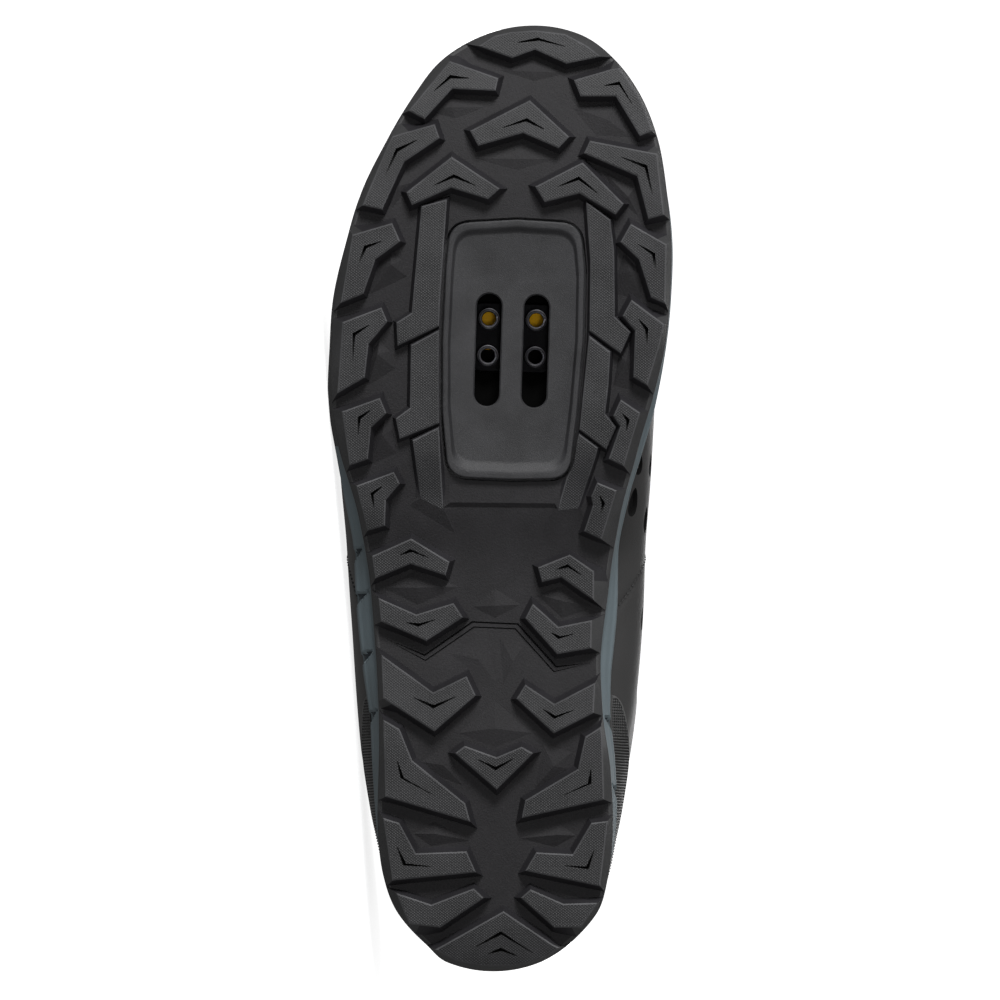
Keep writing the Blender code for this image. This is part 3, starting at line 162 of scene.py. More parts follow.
# Lugs from toe to heel, corners in hundredths
LUGS = {
    "toe": Lug(((5.8, 97.7), (-3.5, 96.5), (-10.2, 97.4), (-19.3, 95.9), (-29.0, 96.6), (-25.0, 97.7),
        (-18.9, 98.9), (-10.2, 99.3), (-3.0, 99.1), (1.5, 98.7)),
        (((-4.9, 98.1), (-10.9, 98.6), (-18.9, 97.7)),)),
    "front_lateral": Lug(((26.2, 90.8), (14.5, 96.0), (0.7, 94.2), (1.5, 93.0), (14.0, 93.2), (22.0, 90.0)),
        (((19.3, 92.9), (14.5, 94.6), (9.1, 94.3)),)),
    "front_medial": Lug(((-21.8, 94.0), (-34.9, 95.4), (-41.0, 92.0), (-44.2, 88.7), (-40.7, 88.2),
        (-33.8, 92.4), (-23.6, 92.4)),
        (((-30.3, 93.5), (-34.7, 93.9), (-38.3, 91.6)),)),
    "front_centre": Lug(((8.4, 88.6), (-8.6, 91.8), (-19.8, 88.0), (-16.9, 86.9), (-6.7, 88.5),
        (6.2, 87.15)),
        (((-0.7, 89.0), (-7.8, 90.0), (-12.9, 88.85)),)),
    "second_lateral": Lug(((39.6, 80.8), (31.4, 88.0), (19.1, 89.25), (17.8, 87.9), (28.0, 85.4),
        (34.3, 80.4)),
        (((33.3, 84.0), (30.2, 86.75), (24.2, 87.7)),)),
    "second_medial": Lug(((-26.2, 87.5), (-45.4, 86.15), (-47.4, 79.8), (-43.2, 79.4), (-40.0, 83.9),
        (-24.7, 86.3)),
        (((-35.2, 85.9), (-42.7, 85.0), (-44.3, 81.9)),)),
    "second_centre_lateral": Lug(((26.9, 82.1), (14.0, 85.8), (0.4, 82.5), (3.6, 81.5), (14.2, 82.7),
        (25.4, 80.9)),
        (((19.3, 82.9), (13.4, 84.05), (7.1, 82.9)),)),
    "second_centre_medial": Lug(((-10.5, 82.7), (-23.9, 85.2), (-35.6, 80.9), (-33.4, 79.9), (-23.1, 82.1),
        (-13.1, 81.2)),
        (((-16.9, 82.8), (-22.9, 83.8), (-28.3, 82.1)),)),
    "third_lateral": Lug(((45.9, 70.6), (42.6, 77.6), (31.4, 78.8), (29.2, 77.0), (36.3, 75.1),
        (39.8, 71.5)),
        (((41.0, 74.7), (39.4, 76.5), (34.5, 77.0)),)),
    "fourth_lateral": Lug(((46.9, 61.1), (45.5, 68.4), (34.5, 69.9), (32.9, 68.55), (38.3, 66.2),
        (39.4, 62.7)),
        (((42.7, 64.5), (42.7, 67.3), (38.0, 68.2)),)),
    "fifth_lateral": Lug(((43.4, 53.5), (45.6, 59.0), (34.9, 60.4), (33.2, 58.9), (37.6, 57.4),
        (38.5, 54.1)),
        (((41.2, 56.6), (41.2, 58.5), (37.8, 59.2)),)),
    "sixth_lateral": Lug(((38.3, 46.6), (41.4, 51.2), (30.9, 52.6), (29.3, 51.5), (33.3, 49.8),
        (33.6, 47.1)),
        (((36.7, 48.9), (37.6, 50.5), (34.3, 51.2)),)),
    "seventh_lateral": Lug(((36.9, 43.8), (25.8, 45.6), (14.9, 43.2), (16.0, 41.9), (26.0, 43.1),
        (36.0, 41.6)),
        (((29.1, 44.0), (26.0, 44.6), (20.7, 43.7)),)),
    "eighth_lateral": Lug(((34.3, 37.0), (21.4, 35.0), (11.1, 37.4), (13.6, 38.8), (24.3, 37.6),
        (35.0, 39.3)),
        (((27.3, 36.8), (23.8, 36.4), (18.9, 37.1)),)),
    "ninth_lateral": Lug(((33.6, 28.9), (19.1, 25.5), (7.3, 29.2), (9.8, 31.1), (19.4, 29.4), (34.2, 33.3)),
        (((25.0, 28.9), (19.3, 27.8), (12.9, 29.0)),)),
    "third_medial": Lug(((-38.0, 78.7), (-48.1, 76.6), (-47.8, 70.5), (-44.0, 71.1), (-40.5, 75.1),
        (-35.2, 76.9)),
        (((-40.0, 76.7), (-45.0, 75.7), (-45.2, 74.1)),)),
    "fourth_medial": Lug(((-38.2, 70.7), (-47.4, 68.2), (-45.8, 65.7), (-42.6, 61.9), (-38.9, 62.7),
        (-39.4, 67.6), (-35.8, 69.1)),
        (((-40.3, 68.8), (-43.0, 67.8), (-42.7, 66.2)),)),
    "fifth_medial": Lug(((-35.1, 60.2), (-40.4, 58.9), (-35.8, 53.4), (-31.8, 54.1), (-35.1, 57.5),
        (-33.1, 58.6)),
        (((-35.6, 58.9), (-37.6, 58.2), (-36.8, 57.0)),)),
    "sixth_medial": Lug(((-28.3, 51.5), (-33.6, 50.7), (-29.4, 45.7), (-24.7, 46.5), (-27.2, 49.2),
        (-26.7, 50.1)),
        (((-29.1, 50.2), (-30.5, 49.4), (-29.5, 48.4)),)),
    "seventh_medial": Lug(((-11.3, 42.6), (-20.2, 43.9), (-27.1, 42.2), (-27.1, 39.3), (-17.8, 41.7),
        (-12.4, 41.2)),
        (((-16.4, 42.5), (-19.6, 43.0), (-23.6, 41.9)),)),
    "eighth_medial": Lug(((-7.6, 37.3), (-16.7, 33.6), (-26.3, 34.2), (-26.5, 37.0), (-16.9, 36.3),
        (-9.6, 38.7)),
        (((-14.9, 35.7), (-16.9, 35.1), (-21.3, 35.6)),)),
    "ninth_medial": Lug(((-5.1, 28.85), (-15.6, 25.3), (-27.0, 27.4), (-27.4, 30.4), (-15.8, 28.2),
        (-7.4, 30.2)),
        (((-12.4, 27.7), (-15.6, 26.7), (-21.3, 27.6)),)),
    "heel_centre": Lug(((12.7, 23.1), (1.0, 19.4), (-9.3, 23.1), (-6.2, 23.7), (1.0, 22.6), (10.2, 23.8)),
        (((6.4, 22.4), (1.2, 21.3), (-3.9, 22.5)),)),
    "heel_lateral_front": Lug(((33.6, 26.5), (29.3, 25.6), (25.6, 22.3), (10.3, 17.8), (8.9, 16.0),
        (33.0, 18.6)),
        (((29.9, 22.3), (28.9, 20.5), (19.3, 18.7)),)),
    "heel_medial_front": Lug(((-29.4, 25.8), (-24.9, 24.8), (-22.8, 21.4), (-7.5, 18.1), (-6.6, 16.4),
        (-30.0, 18.3)),
        (((-26.5, 21.4), (-26.5, 19.9), (-18.5, 18.7)),)),
    "heel_lateral_middle": Lug(((33.6, 16.2), (29.3, 15.7), (24.5, 12.5), (9.8, 12.7), (7.3, 10.65),
        (31.0, 9.8)),
        (((29.9, 13.2), (28.1, 11.3), (19.9, 11.15)),)),
    "heel_medial_middle": Lug(((-31.0, 15.9), (-26.6, 15.7), (-21.2, 12.4), (-10.6, 12.6), (-7.7, 10.8),
        (-28.9, 9.2)),
        (((-27.3, 12.8), (-25.7, 10.9), (-18.7, 11.25)),)),
    "heel_lateral_back": Lug(((29.8, 8.3), (19.9, 7.1), (7.7, 8.8), (5.0, 7.9), (17.4, 4.85), (26.2, 5.2))),
    "heel_medial_back": Lug(((-28.0, 7.3), (-18.3, 7.2), (-8.9, 8.7), (-6.4, 7.9), (-15.8, 4.85),
        (-23.3, 4.85))),
    "heel_back": Lug(((18.5, 2.4), (-1.0, 6.4), (-17.7, 2.3), (-10.5, 1.25), (-4.0, 0.75), (5.0, 0.75),
        (12.5, 1.3)),
        (((7.0, 2.8), (-0.2, 4.4), (-9.6, 2.1)), ((3.5, 2.05), (-0.2, 2.65), (-5.0, 1.8)))),
}
RAILS = {
    "lateral_front": ((22.6, 80.6), (15.6, 81.3), (16.6, 76.0), (17.4, 72.0), (17.9, 68.1), (29.5, 66.1),
        (29.8, 68.4), (25.4, 69.4), (24.0, 75.0)),
    "lateral_middle": ((17.9, 67.5), (25.6, 66.0), (25.9, 59.4), (30.0, 58.3), (28.9, 56.3), (17.9, 57.9)),
    "lateral_back": ((17.9, 57.3), (25.1, 56.0), (24.0, 53.0), (22.8, 49.8), (16.6, 48.7), (17.3, 53.0)),
    "medial_front": ((-25.2, 81.0), (-31.8, 79.2), (-32.9, 76.0), (-33.1, 69.0), (-37.6, 67.4),
        (-34.9, 65.3), (-26.2, 67.6), (-26.4, 75.0)),
    "medial_middle": ((-26.0, 66.9), (-31.8, 65.3), (-31.2, 61.8), (-30.3, 58.8), (-33.4, 57.4),
        (-30.7, 55.2), (-23.3, 57.2), (-24.5, 61.5)),
    "medial_back": ((-23.0, 56.6), (-28.2, 55.2), (-27.3, 54.0), (-22.5, 48.8), (-16.8, 48.6),
        (-20.3, 53.0)),
}


class Facet(NamedTuple):
    """A low form on the rubber between lugs: corners (across, along, height in mm) and a raised point."""

    corners: tuple[tuple[float, float, float], ...]
    peak: tuple[float, float, float] | None = None


FACETS = (
    Facet(((34.0, 40.5, 0), (24.5, 42.3, 0), (12.0, 40.6, 0), (24.0, 38.7, 0)), (24.0, 40.5, 1.1)),
    Facet(((8.0, 38.5, 0), (1.5, 40.4, 0), (-6.0, 38.7, 0), (1.5, 37.3, 0)), (1.5, 38.6, 0.9)),
    Facet(((-10.5, 39.8, 0), (-18.5, 40.7, 0), (-27.0, 38.4, 0), (-18.0, 37.3, 0)), (-18.0, 39.1, 1.0)),
    Facet(((12.0, 25.2, 0), (1.5, 28.6, 0), (-9.5, 25.2, 0), (1.5, 23.7, 0)), (1.5, 25.7, 0.9)),
    Facet(((25.0, 14.6, 0), (19.0, 15.9, 0), (8.8, 13.9, 0), (20.0, 13.3, 0)), (19.0, 14.6, 1.2)),
    Facet(((-22.0, 14.4, 0), (-17.5, 15.6, 0), (-5.6, 14.1, 0), (-16.0, 13.2, 0)), (-16.5, 14.5, 1.2)),
    Facet(((23.0, 91.0, 0), (14.0, 92.4, 0), (4.5, 91.2, 0), (13.0, 90.0, 0)), (14.0, 91.2, 0.9)),
    Facet(((0.5, 95.2, 0), (-9.5, 96.2, 0), (-20.0, 94.9, 0), (-10.0, 94.0, 0)), (-10.0, 95.0, 0.9)),
    Facet(((-21.0, 91.2, 0), (-33.0, 91.6, 0), (-38.5, 88.0, 0), (-28.0, 88.2, 0)), (-31.0, 89.9, 1.0)),
    Facet(((7.5, 85.8, 0), (-5.0, 87.2, 0), (-16.0, 85.7, 0), (-5.0, 84.5, 0)), (-5.0, 85.7, 0.6)),
    Facet(((27.0, 84.9, 0), (33.0, 81.6, 0), (31.2, 80.5, 0), (25.9, 83.2, 0)), (29.6, 82.8, 0.9)),
    Facet(((-29.5, 84.6, 0), (-38.9, 82.6, 0), (-40.3, 79.6, 0), (-35.0, 81.2, 0)), (-37.2, 81.7, 1.0)),
    Facet(((31.5, 76.2, 0), (28.5, 75.0, 0), (27.0, 73.3, 0), (37.8, 71.4, 0), (38.0, 73.8, 0)),
          (31.6, 74.5, 1.8)),
    Facet(((35.0, 66.6, 0), (32.0, 65.4, 0), (30.4, 63.6, 0), (38.2, 61.8, 0), (38.4, 64.5, 0)),
          (35.6, 65.1, 1.8)),
    Facet(((33.0, 58.6, 0), (31.0, 57.2, 0), (30.0, 54.7, 0), (38.1, 53.4, 0), (37.6, 56.2, 0)),
          (34.2, 56.6, 1.8)),
    Facet(((-36.0, 75.8, 0), (-41.0, 73.6, 0), (-41.0, 70.9, 0), (-33.9, 71.4, 0), (-34.1, 73.5, 0)),
          (-37.6, 73.8, 1.6)),
    Facet(((-37.6, 66.2, 0), (-38.8, 64.0, 0), (-38.6, 61.3, 0), (-32.9, 61.8, 0), (-34.4, 65.0, 0)),
          (-36.6, 64.3, 1.6)),
    Facet(((14.5, 33.6, 0), (4.0, 35.4, 0), (1.0, 30.4, 0), (7.0, 31.4, 0)), (6.5, 33.0, 0.6)),
    Facet(((0.2, 35.4, 0), (-7.5, 34.6, 0), (-6.0, 31.4, 0), (-1.0, 30.2, 0)), (-3.6, 32.8, 0.6)),
    Facet(((15.5, 24.0, 0), (23.0, 22.2, 0), (17.5, 20.6, 0), (10.5, 19.6, 0)), (16.4, 21.8, 0.9)),
    Facet(((-12.5, 24.0, 0), (-10.0, 19.4, 0), (-20.5, 21.4, 0), (-21.0, 23.2, 0)), (-15.6, 21.7, 0.9)),
    Facet(((22.8, 50.0, 0.8), (26.4, 49.2, 0), (13.0, 46.2, 0), (16.6, 48.9, 0.8))),
    Facet(((-22.5, 49.0, 0.8), (-16.8, 48.8, 0.8), (-11.9, 45.4, 0), (-24.5, 47.0, 0))),
    Facet(((14.8, 51.4, 0), (14.4, 49.5, 0.8), (-15.9, 49.4, 0.8), (-18.0, 51.3, 0))),
    Facet(((14.4, 49.5, 0.8), (14.5, 49.0, 0), (-16.0, 48.9, 0), (-15.9, 49.4, 0.8))),
)
WAIST_GROOVE = ((34.4, 35.3), (21.8, 33.1), (7.8, 36.6), (-4.8, 36.4), (-16.0, 31.9), (-26.6, 32.6))


class Vent(NamedTuple):
    """One drop-shaped vent on the medial side: along, rise from the sole, length, width and lean."""

    along: float
    rise: float
    length_mm: float
    width_mm: float
    lean: float


VENTS = (
    Vent(0.535, 0.055, 6.4, 4.0, 0.20),
    Vent(0.4945, 0.062, 8.6, 4.4, 0.10),
    Vent(0.476, 0.190, 8.0, 4.0, 0.05),
    Vent(0.534, 0.190, 6.8, 3.8, 0.15),
    Vent(0.370, 0.205, 7.0, 2.6, 0.00),
)


class Mark(NamedTuple):
    """A soft line on the upper: points (along, turn), how far it stands out and its half width, in mm."""

    route: Points
    out_mm: float
    half_mm: float


CREASES = (
    Mark(((0.655, 0.93), (0.685, 0.80), (0.705, 0.62), (0.715, 0.42)), -0.55, 3.0),
    Mark(((0.672, 0.95), (0.705, 0.80), (0.728, 0.60), (0.738, 0.40)), 0.40, 3.4),
    Mark(((0.700, 0.93), (0.728, 0.76), (0.748, 0.52), (0.752, 0.20)), -0.45, 3.0),
    Mark(((0.660, -0.94), (0.700, -0.80), (0.722, -0.60), (0.728, -0.42)), -0.55, 3.0),
    Mark(((0.680, -0.95), (0.722, -0.80), (0.745, -0.58), (0.750, -0.35)), 0.40, 3.4),
    Mark(((0.712, -0.92), (0.745, -0.74), (0.762, -0.48), (0.765, -0.15)), -0.40, 3.0),
    Mark(((0.105, 0.62), (0.150, 0.66), (0.200, 0.67), (0.245, 0.64)), -0.50, 3.6),
    Mark(((0.105, -0.62), (0.150, -0.66), (0.200, -0.67), (0.245, -0.64)), -0.50, 3.6),
    Mark(((0.330, 0.55), (0.380, 0.62), (0.430, 0.60)), -0.45, 4.0),
    Mark(((0.330, -0.55), (0.380, -0.62), (0.430, -0.60)), -0.45, 4.0),
)
SEAMS = (
    Mark(((0.377, -0.985), (0.392, -0.940), (0.408, -0.890), (0.4225, -0.830), (0.440, -0.700),
          (0.452, -0.540)), -0.30, 0.8),
    Mark(((0.377, 0.985), (0.392, 0.940), (0.408, 0.890), (0.4225, 0.830), (0.440, 0.700),
          (0.452, 0.540)), -0.30, 0.8),
    Mark(((0.800, -0.985), (0.835, -0.760), (0.862, -0.460), (0.872, -0.160), (0.872, 0.160), (0.858, 0.460),
          (0.826, 0.760), (0.780, 0.985)), -0.30, 0.8),
)


def smooth_curve(knots: Sequence[float], values: Sequence[float], at: np.ndarray) -> np.ndarray:
    """Smooth curve through values at rising knots, with no bump between them.

    It is a cubic whose slopes are harmonic means.
    """
    knots = np.asarray(knots, float)
    values = np.asarray(values, float)
    at = np.clip(at, knots[0], knots[-1])
    step = np.diff(knots)
    rise = np.diff(values) / step
    before, after = rise[:-1], rise[1:]
    same = before * after > 0
    mean = 2 * before * after / np.where(same, before + after, 1.0)
    slopes = np.concatenate([[rise[0]], np.where(same, mean, 0.0), [rise[-1]]])
    i = np.clip(np.searchsorted(knots, at, side="right") - 1, 0, len(step) - 1)
    t = (at - knots[i]) / step[i]
    ease = t * t * (3 - 2 * t)
    tangents = step[i] * (slopes[i] * t * (1 - t) ** 2 - slopes[i + 1] * t * t * (1 - t))
    return values[i] * (1 - ease) + values[i + 1] * ease + tangents


def smoothstep(low: float, high: float, value: np.ndarray) -> np.ndarray:
    """0 below low, 1 above high and a soft cubic between them."""
    t = np.clip((np.asarray(value) - low) / (high - low), 0, 1)
    return t * t * (3 - 2 * t)


def rounded(along: np.ndarray) -> np.ndarray:
    """Position that runs evenly round heel and toe: the angle whose cosine falls as along rises, over pi."""
    return np.arccos(1 - 2 * np.clip(along, 0, 1)) / math.pi


def share_along(position: np.ndarray) -> np.ndarray:
    """The share of the length at a rounded position."""
    return (1 - np.cos(math.pi * np.asarray(position))) / 2


def drawn_in(loop: np.ndarray, inset: float | np.ndarray) -> np.ndarray:
    """A closed plan loop, counterclockwise, moved inwards along its normals."""
    tangent = np.roll(loop, -1, axis=0) - np.roll(loop, 1, axis=0)
    tangent /= np.linalg.norm(tangent, axis=1)[:, None]
    return loop - np.reshape(inset, (-1, 1)) * np.column_stack([tangent[:, 1], -tangent[:, 0]])


def counterclockwise(points: np.ndarray) -> np.ndarray:
    """The same outline, turned to run counterclockwise."""
    x, y = points.T
    area = np.sum(x * np.roll(y, -1) - y * np.roll(x, -1))
    return points if area > 0 else points[::-1]


def mitred(points: np.ndarray, out: float) -> np.ndarray:
    """A counterclockwise outline with every side moved outwards, so that corners stay corners."""
    side = np.roll(points, -1, axis=0) - points
    side /= np.linalg.norm(side, axis=1)[:, None]
    normal = np.column_stack([side[:, 1], -side[:, 0]])
    before = np.roll(normal, 1, axis=0)
    spread = np.clip(1 + np.sum(before * normal, axis=1), 0.45, None)
    return points + out * (before + normal) / spread[:, None]


def filleted(points: np.ndarray, radius: float, steps: int = 9) -> np.ndarray:
    """An outline with its sharp corners rounded by quadratic curves."""
    made = []
    for i, corner in enumerate(points):
        before, after = points[i - 1] - corner, points[(i + 1) % len(points)] - corner
        if abs(before @ after) > 0.9 * np.linalg.norm(before) * np.linalg.norm(after):
            made.append(corner[None])
            continue
        reach = min(radius, 0.45 * np.linalg.norm(before), 0.45 * np.linalg.norm(after))
        a = corner + before / np.linalg.norm(before) * reach
        b = corner + after / np.linalg.norm(after) * reach
        t = np.linspace(0, 1, steps)[:, None]
        made.append((1 - t) ** 2 * a + 2 * t * (1 - t) * corner + t * t * b)
    return np.vstack(made)


def divided(points: np.ndarray, longest: float) -> np.ndarray:
    """A closed outline whose sides are cut into equal parts no longer than the given length."""
    made = []
    for start, end in zip(points, np.roll(points, -1, axis=0)):
        parts = max(1, math.ceil(np.linalg.norm(end - start) / longest))
        t = np.arange(parts)[:, None] / parts
        made.append(start * (1 - t) + end * t)
    return np.vstack(made)


def held(points: np.ndarray, loop: np.ndarray, inside: bool = True) -> np.ndarray:
    """Plan points with those on the wrong side of a loop moved to its nearest point."""
    fine = divided(loop, FINE_STEP)
    nearest = np.argmin(np.linalg.norm(points[:, None] - fine[None], axis=2), axis=1)
    wrong = within(loop, points) != inside
    return np.where(wrong[:, None], fine[nearest], points)


def shrunk(loop: np.ndarray, side: float, front: float, rear: float) -> np.ndarray:
    """A loop drawn in by one width at its sides, one at its front and one at its rear."""
    low, high = loop.min(axis=0), loop.max(axis=0)
    middle, half = (low + high) / 2, (high - low) / 2
    from_middle = loop - middle
    end = np.where(from_middle[:, 1] > 0, front, rear)
    share = np.column_stack([np.full(len(loop), 1 - side / half[0]), 1 - end / half[1]])
    return middle + from_middle * share


def within(loop: np.ndarray, points: np.ndarray) -> np.ndarray:
    """Which points lie inside a closed loop: those whose ray crosses it an odd number of times."""
    a, b = loop[None], np.roll(loop, -1, axis=0)[None]
    x, y = points[:, 0:1], points[:, 1:2]
    spans = (a[..., 1] > y) != (b[..., 1] > y)
    rise = np.where(a[..., 1] == b[..., 1], 1.0, b[..., 1] - a[..., 1])
    cross = a[..., 0] + (y - a[..., 1]) * (b[..., 0] - a[..., 0]) / rise
    return np.sum(spans & (x < cross), axis=1) % 2 == 1


def linear(hex_colour: str) -> tuple[float, float, float, float]:
    """An sRGB hex colour as linear red, green, blue and alpha."""
    channels = [int(hex_colour[k : k + 2], 16) / 255 for k in (1, 3, 5)]
    values = [c / 12.92 if c <= 0.04045 else ((c + 0.055) / 1.055) ** 2.4 for c in channels]
    return (*values, 1.0)


class Placement:
    """Where the standing shoe's axes lie in the frame, read from the record's bed face and slot joint."""

    def __init__(self, record: dict, last: Last) -> None:
        """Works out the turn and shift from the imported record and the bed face's place on the form."""
        face = next(mount for mount in record["mounts"] if mount["name"] == "cleat_bed_face")
        slot = np.array(record["behaviour"]["joints"][0]["axis"], float)
        up = -np.array(face["axis"], float)
        lean = math.radians(CleatBed.lean_degrees)
        ahead = slot * math.cos(lean) + np.cross(slot, up) * math.sin(lean)
        ahead /= np.linalg.norm(ahead)
        self.turn = np.column_stack([np.cross(ahead, up), ahead, up])
        across, along = CleatBed.slots_middle
        standing = np.array([across * last.ball, along * last.length, CleatBed(last).recess])
        self.shift = np.array(face["pos_m"], float) - self.turn @ standing

    def laid(self, points: np.ndarray) -> np.ndarray:
        """Standing points, laid down."""
        return points @ self.turn.T + self.shift

    def standing(self, points: np.ndarray) -> np.ndarray:
        """Laid points, stood up."""
        return (points - self.shift) @ self.turn

    def direction(self, x: float, y: float, z: float) -> Vector:
        """A standing direction, laid down."""
        return Vector(self.turn @ np.array([x, y, z]))


@dataclass(frozen=True)
class Last:
    """The form that the shoe is drawn on, with the heights of the sole's layers."""

    length: float = 0.280
    ball: float = 0.1016
    gap: float = 0.0003
    toe_spring: float = 0.016
    arch_rise: float = 0.0055
    heel_bevel: float = 0.005
    lug_height: float = 0.0048
    rubber: float = 0.0026
    midsole_ball: float = 0.0060
    midsole_heel: float = 0.0150
    instep: float = 0.100
    collar: float = 0.084
    bulge: float = 0.022
    heel_curve: float = 0.0065
    heel_set: float = 0.0012
    toe_set: float = 0.0049
    toe_lean: float = 0.004
    undercurve: float = 0.6
    low: float = 0.25

    def metres(self, points: Sequence[Sequence[float]]) -> np.ndarray:
        """Points in hundredths across and along, as plan positions."""
        return np.array(points, float)[:, :2] / 100 * [self.ball, self.length]

    def follow(self, table: Sequence[Sequence[float]], column: int, position: np.ndarray) -> np.ndarray:
        """A table's column, read at rounded positions along the shoe."""
        rows = np.array(table)
        return smooth_curve(rounded(rows[:, 0]), rows[:, column], position)

    def edge(self, table: Sequence[Sequence[float]], position: np.ndarray) -> tuple[np.ndarray, np.ndarray]:
        """Centre and half width of a plan edge: the width is a fullness times the position's sine."""
        rows = np.array(table)
        knots = rounded(rows[:, 0])
        centre = smooth_curve(knots, (rows[:, 1] - rows[:, 2]) / 2, position)
        inside = slice(1, -1)
        fullness = (rows[:, 1] + rows[:, 2])[inside] / 2 / np.sin(math.pi * knots[inside])
        half = smooth_curve(knots[inside], fullness, position) * np.sin(math.pi * np.asarray(position))
        return centre * self.ball, half * self.ball

    def loop(self, table: Sequence[Sequence[float]], inset: float = 0.0, count: int = 150,
             back: float = 0.0, front: float | None = None) -> np.ndarray:
        """Closed plan loop of an edge, from the heel up the lateral side and back down the medial one.

        Args:
            table: The edge.
            inset: How far it is drawn in.
            count: Steps on each side.
            back: Where the heel is along the shoe.
            front: Where the toe is.

        Returns:
            The loop's points.
        """
        position = np.linspace(0, 1, count + 1)
        front = self.length if front is None else front
        y = back + (front - back) * share_along(position)
        centre, half = self.edge(table, position)
        lateral = np.column_stack([centre + half, y])
        medial = np.column_stack([centre - half, y])[1:-1][::-1]
        return drawn_in(np.vstack([lateral, medial]), inset)

    def tread(self, y: np.ndarray) -> np.ndarray:
        """Height of the lug faces: toe spring, arch and heel bevel added up."""
        at = rounded(np.asarray(y) / self.length)
        toe, arch, heel = (self.follow(TREAD, column, at) for column in (1, 2, 3))
        return self.toe_spring * toe + self.arch_rise * arch + self.heel_bevel * heel

    def base(self, y: np.ndarray) -> np.ndarray:
        """Height of the valleys between the lugs."""
        return self.tread(y) + self.lug_height

    def floor(self, y: np.ndarray) -> np.ndarray:
        """Height of the outsole's upper face."""
        return self.base(y) + self.rubber

    def feather(self, y: np.ndarray) -> np.ndarray:
        """Height of the feather line, where the upper stands on the midsole."""
        share = self.follow(MIDSOLE_DEPTH, 1, rounded(np.asarray(y) / self.length))
        depth = self.midsole_ball + (self.midsole_heel - self.midsole_ball) * share
        return self.floor(y) + 2 * self.gap + depth

    def section(self, position: np.ndarray) -> dict[str, np.ndarray]:
        """The measures of the upper's sections at rounded positions."""
        feather = self.feather(self.length * share_along(position))
        foot_centre, foot_half = self.edge(FEATHER_EDGE, position)
        centre, half = self.edge(BULGE_EDGE, position)
        return {
            "feather": feather,
            "foot_centre": foot_centre,
            "foot_half": foot_half,
            "centre": centre,
            "half": half,
            "bulge": feather + self.bulge * self.follow(SECTIONS, 1, position),
            "ridge": self.instep * self.follow(SECTIONS, 2, position),
            "ridge_x": self.ball * self.follow(SECTIONS, 3, position),
            "power": self.follow(SECTIONS, 4, position),
        }

    def face(self, position: np.ndarray, turn: np.ndarray) -> np.ndarray:
        """Points of the upper's outer face.

        Below the widest point a section is a parabola in and up to the feather line. Above it, it runs to
        the ridge as a power of a cosine across and a sine up.

        Args:
            position: Rounded position along the shoe.
            turn: 1 at the lateral feather line, 0 at the ridge, -1 at the medial feather line.

        Returns:
            The points.
        """
        position = np.clip(position, 0.0, 1.0)
        s = self.section(position)
        side = np.where(turn >= 0, 1.0, -1.0)
        rise = 1 - np.abs(turn)
        low = np.clip(rise / self.low, 0, 1)
        angle = np.clip((rise - self.low) / (1 - self.low), 0, 1) * math.pi / 2
        wide = s["centre"] + side * s["half"]
        foot = s["foot_centre"] + side * s["foot_half"]
        above = s["centre"] + side * s["half"] * np.cos(angle) ** s["power"]
        above = above + (s["ridge_x"] - s["centre"]) * np.sin(angle) ** 2
        x = np.where(rise < self.low, wide - (wide - foot) * (1 - low) ** 2, above)
        z_low = s["feather"] + (s["bulge"] - s["feather"]) * low
        z = np.where(rise < self.low, z_low, s["bulge"] + (s["ridge"] - s["bulge"]) * np.sin(angle))
        along = share_along(position)
        heel_top = (z - s["bulge"]) / (self.collar - s["bulge"])
        bend = np.where(heel_top > 0, 1.0, self.undercurve)
        heel = self.heel_set + self.heel_curve * heel_top**2 * bend
        toe = self.toe_set + self.toe_lean * np.clip((z - s["bulge"]) / self.bulge, 0, None) ** 2
        y = self.length * along + heel * (1 - along) ** 3 - toe * along**8
        return np.stack([x, y, z], axis=-1)

    def normal(self, position: np.ndarray, turn: np.ndarray) -> np.ndarray:
        """Outward normals of the upper's face: the cross product of its slopes along and up."""
        small = 1e-4
        position = np.clip(position, 2 * small, 1 - 2 * small)
        along = self.face(position + small, turn) - self.face(position - small, turn)
        up = self.face(position, turn - small) - self.face(position, turn + small)
        normal = np.cross(along, up)
        return normal / np.linalg.norm(normal, axis=-1, keepdims=True)

    def offset(self, position: np.ndarray, turn: np.ndarray, out: float | np.ndarray) -> np.ndarray:
        """Points at a distance out from the upper's face."""
        out = np.broadcast_to(np.asarray(out, float), np.broadcast(position, turn).shape)
        return self.face(position, turn) + self.normal(position, turn) * out[..., None]


